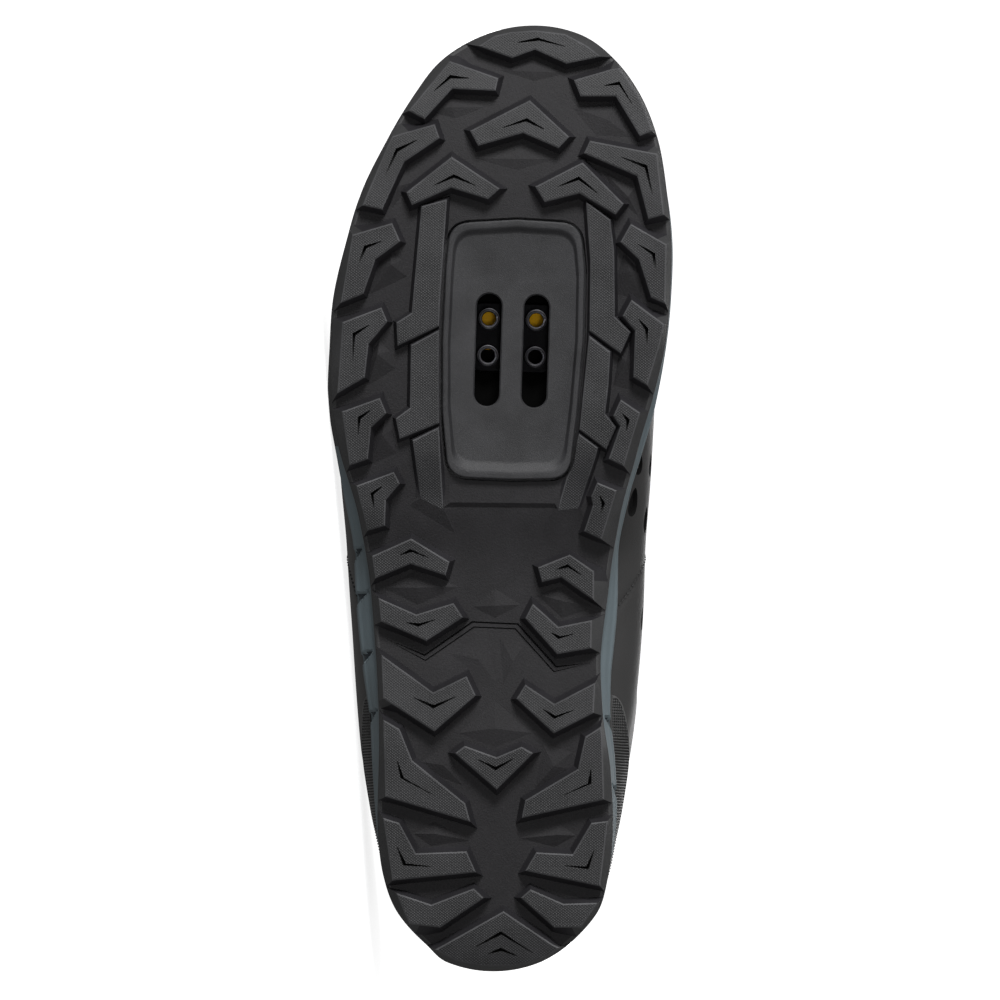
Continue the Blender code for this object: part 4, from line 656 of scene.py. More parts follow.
class Form:
    """Collects surfaces of the standing shoe and makes one piece of them."""

    def __init__(self) -> None:
        """Starts with nothing."""
        self.points: list[np.ndarray] = []
        self.faces: list[list[int]] = []
        self.marks: list[np.ndarray] = []
        self.count = 0

    def add(self, points: np.ndarray, faces: np.ndarray, finish: int | np.ndarray = 0) -> None:
        """Adds points and faces as rows of their numbers, with a finish for all faces or for each."""
        points = np.asarray(points, float).reshape(-1, 3)
        self.points.append(points)
        self.faces.extend((np.asarray(faces) + self.count).tolist())
        self.marks.append(np.broadcast_to(finish, (len(faces),)))
        self.count += len(points)

    def grid(self, points: np.ndarray, around: bool = False, finish: int | np.ndarray = 0) -> None:
        """Adds a grid of points as quads, closed along its second direction where asked."""
        rows, columns = points.shape[:2]
        index = np.arange(rows * columns).reshape(rows, columns)
        if around:
            index = np.concatenate([index, index[:, :1]], axis=1)
        quads = np.stack([index[:-1, :-1], index[1:, :-1], index[1:, 1:], index[:-1, 1:]], axis=-1)
        self.add(points, quads.reshape(-1, 4), np.ravel(finish) if np.ndim(finish) else finish)

    def mesh(self, name: str, place: Placement) -> bpy.types.Mesh:
        """The collected surfaces as one mesh, laid down, with doubles merged and faces pointing out."""
        mesh = bpy.data.meshes.new(name)
        mesh.from_pydata(place.laid(np.vstack(self.points)).tolist(), [], self.faces)
        mesh.polygons.foreach_set("material_index", np.concatenate(self.marks).astype(np.int32))
        build = bmesh.new()
        build.from_mesh(mesh)
        bmesh.ops.remove_doubles(build, verts=build.verts, dist=2e-6)
        bmesh.ops.dissolve_degenerate(build, dist=1e-7, edges=build.edges)
        bmesh.ops.recalc_face_normals(build, faces=build.faces)
        build.to_mesh(mesh)
        build.free()
        return mesh


class Pattern(Enum):
    """What a finish's surface is made of."""

    GRAIN = "grain"
    HATCH = "hatch"
    CELLS = "cells"
    THREAD = "thread"


@dataclass(frozen=True)
class Finish:
    """One finish: a real material and how its surface was made, with painted shade in its pattern's hollows
    and painted highlight on its tops.
    """

    name: str
    colour: str
    roughness: float
    pattern: Pattern = Pattern.GRAIN
    pitch_mm: float = 0.5
    depth_mm: float = 0.05
    mottle: float = 0.12
    metallic: float = 0.0
    coat: float = 0.0
    sheen: float = 0.0
    specular: float = 0.5

    def material(self) -> bpy.types.Material:
        """The Principled material, made once: mottled colour and roughness, painted shade in the pattern's
        hollows and painted highlight on its tops, and the pattern as bump.
        """
        if self.name in bpy.data.materials:
            return bpy.data.materials[self.name]
        made = bpy.data.materials.new(self.name)
        made.use_nodes = True
        tree = made.node_tree
        shader = tree.nodes["Principled BSDF"]
        for socket, value in (
            ("Metallic", self.metallic),
            ("Coat Weight", self.coat),
            ("Coat Roughness", 0.25),
            ("Sheen Weight", self.sheen),
            ("Sheen Roughness", 0.6),
            ("Specular IOR Level", self.specular),
        ):
            shader.inputs[socket].default_value = value
        where = node(tree, "ShaderNodeAttribute", {"attribute_name": "stand"})
        height = self.height(tree, where.outputs["Vector"])
        cloud = node(tree, "ShaderNodeTexNoise", {}, {
            "Vector": where.outputs["Vector"], "Scale": CLOUD_SCALE, "Detail": 5.0})
        shade = node(tree, "ShaderNodeMapRange", {}, {
            "Value": cloud.outputs["Fac"], "From Min": 0.3, "From Max": 0.7,
            "To Min": 1 - self.mottle, "To Max": 1 + self.mottle})
        # Painted shade and highlight: colour darker in the pattern's hollows, lighter on its tops
        relief = node(tree, "ShaderNodeMapRange", {}, {
            "Value": height, "To Min": 1 - 1.6 * self.mottle, "To Max": 1 + 1.6 * self.mottle})
        mottle_and_painted_shade = node(tree, "ShaderNodeMath", {"operation": "MULTIPLY"}, {
            0: shade.outputs["Result"], 1: relief.outputs["Result"]})
        tinted = node(tree, "ShaderNodeVectorMath", {"operation": "SCALE"}, {
            0: linear(self.colour)[:3], "Scale": mottle_and_painted_shade.outputs["Value"]})
        rough = node(tree, "ShaderNodeMapRange", {}, {
            "Value": cloud.outputs["Fac"], "To Min": self.roughness - 0.07, "To Max": self.roughness + 0.07})
        bump = node(tree, "ShaderNodeBump", {}, {
            "Height": height, "Strength": 0.8, "Distance": self.depth_mm * MM})
        tree.links.new(tinted.outputs["Vector"], shader.inputs["Base Color"])
        tree.links.new(rough.outputs["Result"], shader.inputs["Roughness"])
        tree.links.new(bump.outputs["Normal"], shader.inputs["Normal"])
        return made

    def height(self, tree: bpy.types.NodeTree, where: bpy.types.NodeSocket) -> bpy.types.NodeSocket:
        """The pattern's height from 0 to 1, at a scale worked out from its real pitch in metres."""
        per_metre = 1 / (self.pitch_mm * MM)
        if self.pattern is Pattern.HATCH:
            # A wave texture has one band to each pi over ten of its coordinate
            scale = math.pi / 10 * per_metre
            waves = []
            for angle in (38, -38):
                turned = node(tree, "ShaderNodeVectorRotate", {"rotation_type": "Z_AXIS"}, {
                    "Vector": where, "Angle": math.radians(angle)})
                waves.append(node(tree, "ShaderNodeTexWave", {"bands_direction": "Y"}, {
                    "Vector": turned.outputs["Vector"], "Scale": scale}).outputs["Fac"])
            return node(tree, "ShaderNodeMath", {"operation": "MULTIPLY"}, {
                0: waves[0], 1: waves[1]}).outputs[0]
        if self.pattern is Pattern.CELLS:
            cells = node(tree, "ShaderNodeTexVoronoi", {"feature": "SMOOTH_F1"}, {
                "Vector": where, "Scale": per_metre, "Smoothness": 0.3, "Randomness": 0.35})
            return cells.outputs["Distance"]
        if self.pattern is Pattern.THREAD:
            twist = node(tree, "ShaderNodeTexNoise", {}, {
                "Vector": where, "Scale": per_metre, "Detail": 2.0})
            return twist.outputs["Fac"]
        pebble = node(tree, "ShaderNodeTexVoronoi", {"feature": "F1"}, {"Vector": where, "Scale": per_metre})
        fine = node(tree, "ShaderNodeTexNoise", {}, {
            "Vector": where, "Scale": 2.4 * per_metre, "Detail": 4.0})
        return node(tree, "ShaderNodeMath", {"operation": "MULTIPLY_ADD"}, {
            0: pebble.outputs["Distance"], 1: 0.5, 2: fine.outputs["Fac"]}).outputs[0]


def node(tree: bpy.types.NodeTree, kind: str, settings: dict, inputs: dict | None = None) -> bpy.types.Node:
    """Adds one node with its settings, and sets or links its inputs."""
    made = tree.nodes.new(kind)
    for name, value in settings.items():
        setattr(made, name, value)
    for name, value in (inputs or {}).items():
        if isinstance(value, bpy.types.NodeSocket):
            tree.links.new(value, made.inputs[name])
        else:
            made.inputs[name].default_value = value
    return made


# Carbon-black rubber, compression moulded: matt faces with a fine cut hatch, and smoother walls
LUG_FACE = Finish("moulded_rubber_hatched", "#3c3c3e", 0.52, Pattern.HATCH, 0.62, 0.16, 0.28)
# Bevels: the same rubber, lighter than the faces, partly wear and partly a painted highlight
LUG_EDGE_WEAR_AND_HIGHLIGHT = Finish("rubber_edge_wear_and_highlight", "#4e4e50", 0.50, Pattern.GRAIN, 0.40, 0.03, 0.24)
# Lug walls: the same rubber, darker as painted shade
LUG_WALL_SHADE = Finish("rubber_wall_painted_shade", "#28272a", 0.62, Pattern.GRAIN, 0.45, 0.05, 0.20, specular=0.35)
# Sipe pits and the gap round the bed: the same rubber, near black as painted shade
SIPE_SHADE = Finish("rubber_cut_painted_shade", "#0c0c0d", 0.60, Pattern.GRAIN, 0.40, 0.02, 0.05)
# Valleys between the lugs: the same rubber, darker as painted shade
VALLEY_SHADE = Finish("rubber_valley_painted_shade", "#282729", 0.64, Pattern.GRAIN, 0.60, 0.14, 0.20, specular=0.32)
SOLE_SIDE = Finish("moulded_rubber_side", "#383839", 0.58, Pattern.GRAIN, 0.45, 0.08, 0.24)
# Ethylene foam, moulded to a satin skin
FOAM = Finish("moulded_foam", "#727f85", 0.60, Pattern.GRAIN, 0.35, 0.03, 0.06)
# Slots in its side: the same foam, darker as painted shade
FOAM_SLOT_SHADE = Finish("foam_slot_painted_shade", "#36424a", 0.65, Pattern.HATCH, 0.55, 0.16, 0.24)
# Glass-filled nylon, injection moulded: even satin with a fine spark-eroded grain
NYLON = Finish("moulded_nylon", "#303032", 0.50, Pattern.GRAIN, 0.34, 0.10, 0.30)
# Carbon steel, rolled and pressed, with oiled black oxide; the rims and lead-ins of the barrels' mouths are
# bright steel, a painted glint
STEEL = Finish("black_oxide_steel", "#0d0d0e", 0.35, Pattern.GRAIN, 0.30, 0.01, 0.10, metallic=1.0)
STEEL_RING_GLINT = Finish("steel_ring_painted_glint", "#a8a8ac", 0.35, Pattern.GRAIN, 0.30, 0.01, 0.20, metallic=1.0)
# Open-cell footbed foam, dyed through and printed in yellow below, under a brushed knit
FOOTBED_PRINT = Finish("printed_foam", "#f5b800", 0.80, Pattern.CELLS, 0.80, 0.08, 0.08)
FOOTBED_FOAM = Finish("footbed_foam", "#050505", 0.95, Pattern.CELLS, 0.80, 0.08, 0.08, specular=0.1)
FOOTBED_KNIT = Finish("brushed_knit", "#2c2c2e", 0.90, Pattern.CELLS, 0.60, 0.10, 0.10, sheen=0.35)
# Polyurethane-coated microfibre: low leather grain under a satin coat
MICROFIBRE = Finish("coated_microfibre", "#2d2c2c", 0.52, Pattern.GRAIN, 0.50, 0.05, 0.10, coat=0.06,
                    sheen=0.05)
LINING = Finish("spacer_mesh", "#1f1f20", 0.88, Pattern.CELLS, 1.20, 0.25, 0.20, sheen=0.30)
VENT_MESH = Finish("vent_mesh", "#0a0a0a", 0.90, Pattern.CELLS, 1.00, 0.10, 0.10)
# Thermoplastic urethane film, moulded in ribs; the grooves between ribs are darker, painted shade
FILM = Finish("moulded_urethane_film", "#5e5e5e", 0.48, Pattern.GRAIN, 0.40, 0.02, 0.08)
FILM_GROOVE_SHADE = Finish("film_groove_painted_shade", "#242424", 0.60, Pattern.GRAIN, 0.40, 0.02, 0.08)
FILM_EDGE = Finish("moulded_film_edge", "#5a5a5a", 0.45, Pattern.GRAIN, 0.40, 0.02, 0.08)
STRAP = Finish("coated_strap", "#2a2a2b", 0.50, Pattern.GRAIN, 0.45, 0.04, 0.10, coat=0.05)
THREAD = Finish("bonded_nylon_thread", "#101011", 0.55, Pattern.THREAD, 0.25, 0.05, 0.15, sheen=0.1)


class PlanSheet:
    """A sheet over the plan, cut along given lines, with a relief in millimetres at chosen points."""

    def __init__(self) -> None:
        """Starts with no points."""
        self.points: list[np.ndarray] = []
        self.relief: list[np.ndarray] = []
        self.edges: list[tuple[int, int]] = []
        self.count = 0

    def add(self, points: np.ndarray, relief: float | np.ndarray = 0.0,
            closed: bool | None = True) -> np.ndarray:
        """Adds points and the edges between them.

        Args:
            points: Plan points.
            relief: How far they stand out from the sheet, in mm.
            closed: True for a ring, False for an open line, None for loose points.

        Returns:
            The numbers of the points.
        """
        index = np.arange(self.count, self.count + len(points))
        self.points.append(np.asarray(points, float))
        self.relief.append(np.broadcast_to(np.asarray(relief, float), (len(points),)))
        self.count += len(points)
        if closed is not None:
            self.edges += list(zip(index[:-1].tolist(), index[1:].tolist()))
        if closed:
            self.edges.append((int(index[-1]), int(index[0])))
        return index

    def triangles(self, outer: np.ndarray, holes: Sequence[np.ndarray]) -> tuple[np.ndarray, ...]:
        """Triangles between the outer loop and the holes, without slivers.

        Returns:
            Plan points, their relief in mm, and rows of three point numbers.
        """
        points = np.vstack(self.points) / MM
        relief = np.concatenate(self.relief)
        found = delaunay_2d_cdt([Vector(p) for p in points.tolist()], self.edges, [], 0, 1e-4)
        plan = np.array([v[:] for v in found[0]]) * MM
        height = np.array([relief[source[0]] if source else 0.0 for source in found[3]])
        faces = np.array([face for face in found[2] if len(face) == 3])
        middle = plan[faces].mean(axis=1)
        a, b, c = (plan[faces[:, k]] for k in range(3))
        twice_area = np.abs((b - a)[:, 0] * (c - a)[:, 1] - (b - a)[:, 1] * (c - a)[:, 0])
        longest = np.max([np.sum((p - q) ** 2, axis=1) for p, q in ((a, b), (b, c), (c, a))], axis=0)
        keep = within(outer, middle) & (twice_area > 1e-4 * longest)
        for hole in holes:
            keep &= ~within(hole, middle)
        return plan, height, faces[keep]


def raised(plan: np.ndarray, height: Height) -> np.ndarray:
    """Plan points at a height, which is a number or a function of y."""
    z = height(plan[:, 1]) if callable(height) else np.full(len(plan), float(height))
    return np.column_stack([plan, z])


def sheet_faces(form: Form, sheet: PlanSheet, outer: np.ndarray, holes: Sequence[np.ndarray],
                height: Height, finish: int = 0) -> None:
    """Adds a plan sheet at a height over the ground, with its relief standing out downwards."""
    plan, relief, faces = sheet.triangles(outer, holes)
    points = raised(plan, height)
    points[:, 2] -= relief * MM
    form.add(points, faces, finish)


def cap(form: Form, outer: np.ndarray, holes: Sequence[np.ndarray], height: Height, finish: int = 0) -> None:
    """Adds a smooth sheet between an outline and its holes."""
    sheet = PlanSheet()
    for loop in (outer, *holes):
        sheet.add(loop)
    sheet_faces(form, sheet, outer, holes, height, finish)


def dress(form: Form, name: str, place: Placement, finishes: Sequence[Finish],
          nodes: Sequence[str] = (), body: str = BODY, sharp_degrees: float = 35.0,
          cutters: Form | None = None) -> bpy.types.Object:
    """Makes a piece of a form: mesh, cuts, finishes, standing coordinates and its place on the frame.

    Args:
        form: The surfaces.
        name: The piece's name.
        place: Where the standing shoe lies.
        finishes: Finishes, in the order of the form's numbers.
        nodes: Solids that the piece stands for.
        body: The body that carries it.
        sharp_degrees: Edges that turn more than this are creases.
        cutters: Closed shapes that are cut out of it.

    Returns:
        The piece.
    """
    mesh = form.mesh(name, place)
    piece = bpy.data.objects.new(name, mesh)
    bpy.context.scene.collection.objects.link(piece)
    for finish in finishes:
        mesh.materials.append(finish.material())
    if cutters is not None:
        cutter = bpy.data.objects.new(f"{name}_cutters", cutters.mesh(f"{name}_cutters", place))
        for finish in finishes:
            cutter.data.materials.append(finish.material())
        bpy.context.scene.collection.objects.link(cutter)
        cut = piece.modifiers.new("cut", "BOOLEAN")
        cut.object = cutter
        cut.solver = "EXACT"
        graph = bpy.context.evaluated_depsgraph_get()
        solid = bpy.data.meshes.new_from_object(piece.evaluated_get(graph))
        piece.modifiers.clear()
        piece.data = solid
        solid.name = name
        bpy.data.objects.remove(cutter)
        mesh = solid
    mesh.shade_smooth()
    mesh.set_sharp_from_angle(angle=math.radians(sharp_degrees))
    places = np.zeros(len(mesh.vertices) * 3)
    mesh.vertices.foreach_get("co", places)
    attribute = mesh.attributes.new("stand", "FLOAT_VECTOR", "POINT")
    attribute.data.foreach_set("vector", place.standing(places.reshape(-1, 3)).ravel().astype(np.float32))
    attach(piece, body)
    if nodes:
        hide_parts(*nodes)
    uses = np.zeros(len(mesh.loops), np.int32)
    mesh.loops.foreach_get("edge_index", uses)
    loose = np.count_nonzero(np.bincount(uses, minlength=len(mesh.edges)) != 2)
    LOG.info("%s: %d triangles, %d open edges", name, sum(len(f.vertices) - 2 for f in mesh.polygons), loose)
    return piece


@dataclass
class CleatBed:
    """Moulded plate in the sole's window: raised rim, recessed face, flange and two slots."""

    last: Last
    rim: float = 0.0010
    proud: float = 0.0004
    edge: float = 0.0005
    rim_width: float = 0.0026
    rim_front: float = 0.0042
    rim_rear: float = 0.0054
    rim_top: tuple[float, float, float] = (0.60, 0.4, 0.30)
    flange: float = 0.0030
    corner: float = 0.0060
    slot_spacing: float = 0.0140
    slot_length: float = 0.0332
    slot_width: float = 0.0074
    chamfer: float = 0.0004
    slots_middle = (-0.034, 0.655)
    lean_degrees = 1.8

    @property
    def recess(self) -> float:
        """Height of the recessed face."""
        return self.last.lug_height + self.rim

    @property
    def back(self) -> float:
        """Height of the plate's back: past the rubber's highest point behind the flange."""
        ends = np.array([min(y for _, y in WINDOW), max(y for _, y in WINDOW)]) / 100 * self.last.length
        behind = self.last.floor(ends + [-self.flange, self.flange])
        return float(behind.max()) + self.last.gap + self.flange / 2

    def leaned(self, points: np.ndarray) -> np.ndarray:
        """Plan points about the middle of the slots, turned by their lean."""
        middle = np.array(self.slots_middle) * [self.last.ball, self.last.length]
        cos, sin = math.cos(math.radians(self.lean_degrees)), math.sin(math.radians(self.lean_degrees))
        return np.asarray(points) @ np.array([[cos, sin], [-sin, cos]]) + middle

    def outline(self) -> np.ndarray:
        """The plate's outline, with round corners and short sides."""
        return divided(filleted(counterclockwise(self.last.metres(WINDOW)), self.corner), OUTLINE_STEP)

    def slot(self, side: int, wider: float = 0.0) -> np.ndarray:
        """A slot's outline: a circle whose two halves stand apart."""
        half_run = (self.slot_length - self.slot_width) / 2
        turns = np.linspace(0, 2 * math.pi, 64, endpoint=False)
        ends = np.where(np.sin(turns) >= 0, half_run, -half_run)
        arc = (self.slot_width / 2 + wider) * np.column_stack([np.cos(turns), np.sin(turns)])
        middles = np.column_stack([np.full(len(turns), side * self.slot_spacing / 2), ends])
        return divided(self.leaned(arc + middles), OUTLINE_STEP)

    def make(self, place: Placement) -> bpy.types.Object:
        """The plate: a profile carried round its outline, with flat faces between it and the slots."""
        outline = self.outline()
        rim, recess, back = self.last.lug_height - self.proud, self.recess, self.back
        seat = self.last.floor(outline[:, 1]) + self.last.gap
        flange = drawn_in(outline, -self.flange)
        loops = [raised(flange, back), np.column_stack([flange, seat]), np.column_stack([outline, seat])]
        for turn in np.linspace(0, math.pi / 2, 6):
            ring = drawn_in(outline, self.edge * (1 - math.cos(turn)))
            loops.append(raised(ring, rim + self.edge * (1 - math.sin(turn))))
        widths = (self.rim_width, self.rim_front, self.rim_rear)
        top = shrunk(outline, *(share * width for share, width in zip(self.rim_top, widths)))
        foot = shrunk(outline, *widths)
        for share in np.linspace(0, 1, 10):
            drop = (recess - rim) * float(smoothstep(0, 1, share))
            loops.append(raised(top + (foot - top) * share, rim + drop))
        form = Form()
        form.grid(np.stack(loops), around=True)
        mouths = [self.slot(side, self.chamfer) for side in (-1, 1)]
        throats = [self.slot(side) for side in (-1, 1)]
        cap(form, loops[-1][:, :2], mouths, recess)
        cap(form, loops[0][:, :2], throats, back)
        for mouth, throat in zip(mouths, throats):
            walls = [raised(mouth, recess), raised(throat, recess + self.chamfer), raised(throat, back)]
            form.grid(np.stack(walls), around=True)
        return dress(form, "cleat_bed_plate", place, [NYLON], ["cleat_bed"], sharp_degrees=24)


@dataclass
class NutPlate:
    """Steel plate behind the slots, with four threaded barrels in them."""

    bed: CleatBed
    wide: float = 0.0235
    long: float = 0.0205
    thick: float = 0.0018
    radius: float = 0.0031
    bore: float = 0.00215
    drop: float = 0.0034
    soft: float = 0.0003
    face: float = 0.0005
    lead_in: float = 0.0006
    spacing: float = 0.0109
    ahead: float = 0.0038
    thread_pitch: float = 0.0008
    thread_depth: float = 0.00013

    def make(self, place: Placement) -> bpy.types.Object:
        """The plate. Its barrels are turned profiles, and their bore's radius follows height and angle."""
        under = self.bed.back + self.bed.last.gap
        top = under + self.thick
        turns = np.linspace(0, 2 * math.pi, 48, endpoint=False)
        circle = np.column_stack([np.cos(turns), np.sin(turns)])
        corners = np.array([(-1, -1), (1, -1), (1, 1), (-1, 1)]) * [self.wide / 2, self.long / 2]
        outline = self.bed.leaned(filleted(corners, self.radius) + [0.0, self.ahead])
        form = Form()
        drawn = drawn_in(outline, self.soft)
        sides = [raised(drawn, under), raised(outline, under + self.soft), raised(outline, top - self.soft),
                 raised(drawn, top)]
        form.grid(np.stack(sides), around=True)
        centres = [np.array([side * self.bed.slot_spacing / 2, self.ahead + end * self.spacing / 2])
                   for side in (-1, 1) for end in (-1, 1)]
        # The rounded rim and the lead-in of each barrel's mouth are bright: a painted glint
        ring_glint = np.repeat([0, 1, 0, 1], len(turns))
        for level, radius in ((under, self.radius), (top, self.bore)):
            cap(form, drawn, [self.bed.leaned(circle * radius + centre) for centre in centres], level)
        mouth = under - self.drop
        outside = [(self.radius, under), (self.radius, mouth + self.soft), (self.radius - self.soft, mouth),
                   (self.bore + self.face, mouth), (self.bore, mouth + self.lead_in)]
        inside = np.linspace(mouth + self.lead_in, top, 60)[1:]
        fade = smoothstep(0, self.lead_in, inside - inside[0])
        fade *= smoothstep(0, self.lead_in, inside[-1] - inside)
        for centre in centres:
            rings = [raised(self.bed.leaned(circle * r + centre), z) for r, z in outside]
            form.grid(np.stack(rings), around=True, finish=ring_glint)
            rings = rings[-1:]
            for z, share in zip(inside, fade):
                wave = np.cos(2 * math.pi * (z - mouth) / self.thread_pitch - turns)
                radii = self.bore + self.thread_depth * share * wave
                rings.append(raised(self.bed.leaned(circle * radii[:, None] + centre), z))
            form.grid(np.stack(rings), around=True)
        finishes = [STEEL, STEEL_RING_GLINT]
        return dress(form, "threaded_nut_plate", place, finishes, ["cleat_nut_plate"], NUT_BODY)


@dataclass
class Outsole:
    """Rubber outsole: the sheet with its facets, groove and raised rims, and the lugs and rails on it."""

    last: Last
    bed: CleatBed
    edge: float = 0.0013
    bumper: float = 0.012
    bumper_wall: float = 0.0022
    draft: float = 0.0017
    rail: float = 0.0034
    sipe_depth: float = 0.0026
    sipe_width: float = 0.0011
    window_gap: float = 0.0007
    shoulder: float = 0.0045
    lip: float = 0.0007
    sunk: float = 0.0009
    bevel: float = 0.00038
    edge_reach: float = 0.0016
    low_start: float = 0.492
    low_end: float = 0.560
    groove: Points = (
        (-1.05, 0.0), (-0.80, -0.6), (-0.55, 0.0), (0.50, 0.0), (0.80, -1.0), (1.10, 0.0))

    def rim(self, y: np.ndarray) -> np.ndarray:
        """Height of the outsole's rim, which rises round toe and heel."""
        lift = self.last.follow(BUMPER_HEIGHT, 1, rounded(np.asarray(y) / self.last.length))
        return self.last.floor(y) + self.bumper * np.clip(lift, 0, None)

    def sheet(self, place: Placement) -> bpy.types.Object:
        """The sheet: a height over the plan inside a profile carried round the sole's edge."""
        last = self.last
        form = Form()
        loop = last.loop(OUTSOLE_EDGE)
        bottom = drawn_in(loop, self.edge)
        inner = drawn_in(loop, self.bumper_wall + last.gap)
        window = drawn_in(self.bed.outline(), -self.window_gap)
        under = PlanSheet()
        under.add(bottom)
        under.add(window)
        facets = []
        for facet in FACETS:
            corners = np.array(facet.corners)
            ring = last.metres(corners)
            index = under.add(ring, corners[:, 2])
            facets.append(ring)
            if facet.peak:
                top = under.add(last.metres([facet.peak]), facet.peak[2], None)
                under.edges += [(int(i), int(top[0])) for i in index]
        route = last.metres(WAIST_GROOVE)
        ahead = np.gradient(route, axis=0)
        normal = np.column_stack([ahead[:, 1], -ahead[:, 0]]) / np.linalg.norm(ahead, axis=1)[:, None]
        clear_edge, clear_window, clear_facet, clear_groove = 0.0015, 0.0012, 0.0006, 0.002
        groove_area = np.vstack([route + normal * clear_groove, (route - normal * clear_groove)[::-1]])
        open_end = np.array([0.0, *np.ones(len(route) - 2), 0.0])
        for across, depth in self.groove:
            under.add(route + normal * (across * MM * open_end[:, None]), depth * open_end, False)
        spacing, half_width = 0.0035, 0.052
        columns, rows = np.arange(-half_width, half_width, spacing), np.arange(0.0, last.length, spacing)
        grid = np.stack(np.meshgrid(columns, rows), -1).reshape(-1, 2)
        keep = within(drawn_in(loop, self.edge + clear_edge), grid)
        keep &= ~within(drawn_in(window, -clear_window), grid) & ~within(groove_area, grid)
        for ring in facets:
            keep &= ~within(mitred(counterclockwise(ring), clear_facet), grid)
        under.add(grid[keep], 0.0, None)
        # The sheet between the lugs takes the darker valley finish: painted shade
        sheet_faces(form, under, bottom, [window], last.base)
        cap(form, inner, [window], last.floor)
        # The gap's wall round the bed is near black: painted shade
        form.grid(np.stack([raised(window, last.base), raised(window, last.floor)]), around=True, finish=2)
        profile = [(self.edge * (1 - math.sin(t)), self.edge * (1 - math.cos(t)), 0.0)
                   for t in np.linspace(0, math.pi / 2, 12)]
        profile += [(self.lip * (1 - math.cos(t)), -self.lip * (1 - math.sin(t)), 1.0)
                    for t in np.linspace(0, math.pi / 2, 6)]
        profile += [(self.bumper_wall, 0.0, 1.0)]
        rings = []
        for inset, rise, share in profile:
            ring = drawn_in(loop, inset)
            low, high = last.base(loop[:, 1]), self.rim(loop[:, 1])
            rings.append(np.column_stack([ring, low * (1 - share) + high * share + rise]))
        rings.append(raised(inner, last.floor))
        form.grid(np.stack(rings), around=True, finish=1)
        finishes = [VALLEY_SHADE, SOLE_SIDE, SIPE_SHADE]
        return dress(form, "outsole_sheet", place, finishes, ["outsole"], sharp_degrees=7)

    def block(self, form: Form, face: Sequence[Sequence[float]], height: float,
              sipes: Sequence[Sequence[Sequence[float]]] = (), low: bool = False) -> None:
        """Adds one lug: a profile carried round its face's outline, and the face with its sipes sunk in.

        Where the outline comes near the sole's edge, its wall's foot runs out to that edge as a shoulder.

        Args:
            form: Where it goes.
            face: Corners round its face, in hundredths.
            height: How far the face stands over the valley.
            sipes: For each sipe, an end, the tip and the other end.
            low: Whether the face runs down towards the valley at its rear end.
        """
        last = self.last
        outline = divided(counterclockwise(last.metres(face)), OUTLINE_STEP)
        out = self.draft * height / last.lug_height
        sole, window = last.loop(OUTSOLE_EDGE), drawn_in(self.bed.outline(), -self.window_gap - last.gap)

        def ring(step: float, inset: float, pull: float = 0.0) -> np.ndarray:
            """The outline moved out by a step, held inside the sole's edge and outside the window."""
            limit = drawn_in(sole, inset)
            line = held(held(mitred(outline, step), limit), window, inside=False)
            fine = divided(limit, FINE_STEP)
            apart = np.linalg.norm(line[:, None] - fine[None], axis=2)
            near = (1 - smoothstep(0.55, 1.0, apart.min(axis=1) / self.shoulder))[:, None] * pull
            return line * (1 - near) + fine[np.argmin(apart, axis=1)] * near

        def top_height(y: np.ndarray) -> np.ndarray:
            """Height of the face."""
            share = 0.24 + 0.76 * smoothstep(self.low_start, self.low_end, y / last.length) if low else 1.0
            return last.base(y) - height * share

        def foot_height(y: np.ndarray) -> np.ndarray:
            """Height of the foot, which is sunk in the sheet."""
            return last.base(y) + self.sunk

        # Foot, wall and the two edges of the bevel: step from the outline, least inset from the sole's edge
        rings = [
            raised(ring(out + 0.0003, 0.0005, 1.0), foot_height),
            raised(ring(out, 0.00025, 1.0), lambda y: last.base(y) + 0.0001),
            raised(ring(0.00022, 0.0010), lambda y: top_height(y) + self.bevel),
            raised(ring(-0.00020, 0.0014), top_height),
        ]
        edge_gap = np.linalg.norm(rings[1][:, None, :2] - sole[None], axis=2).min(axis=1) < self.edge_reach
        # Walls take the darker finish (2), painted shade; walls that reach the sole's edge take its side
        # finish (4)
        shoulder = np.where(edge_gap & np.roll(edge_gap, -1), 4, 2)
        form.grid(np.stack(rings[:3]), around=True, finish=np.tile(shoulder, 2))
        # The bevel takes the lighter edge finish: partly wear, partly a painted highlight
        form.grid(np.stack(rings[2:]), around=True, finish=1)
        cap(form, rings[0][:, :2], [], foot_height, 2)
        top = PlanSheet()
        edge = rings[3][:, :2]
        top.add(edge)
        cuts = []
        for sipe in sipes:
            start, tip, end = last.metres(sipe)
            inward = (start + end) / 2 - tip
            inward /= np.linalg.norm(inward)
            inner = tip + inward * self.sipe_width
            blunt = inward * self.sipe_width / 4
            cut = np.array([start, tip, end, end + blunt, inner, start + blunt])
            cuts.append(cut)
            top.add(cut)
            mouth = raised(cut, top_height)
            middle = (tip + inner) / 2
            deep = [middle[0], middle[1], float(top_height(middle[1:2])[0]) + self.sipe_depth]
            # The sipe's pit is near black: painted shade
            form.add(np.vstack([mouth, deep]), np.array([(k, (k + 1) % 6, 6) for k in range(6)]), 3)
        sheet_faces(form, top, edge, cuts, top_height, 0)

    def lugs(self, place: Placement) -> bpy.types.Object:
        """All lugs and rails as one piece."""
        form = Form()
        for lug in LUGS.values():
            self.block(form, lug.face, self.last.lug_height, lug.sipes)
        for name, face in RAILS.items():
            self.block(form, face, self.rail, low=name.endswith("back"))
        finishes = [LUG_FACE, LUG_EDGE_WEAR_AND_HIGHLIGHT, LUG_WALL_SHADE, SIPE_SHADE, SOLE_SIDE]
        return dress(form, "outsole_lugs", place, finishes, sharp_degrees=18)

    def make(self, place: Placement) -> None:
        """The sheet, then the lugs."""
        self.sheet(place)
        self.lugs(place)


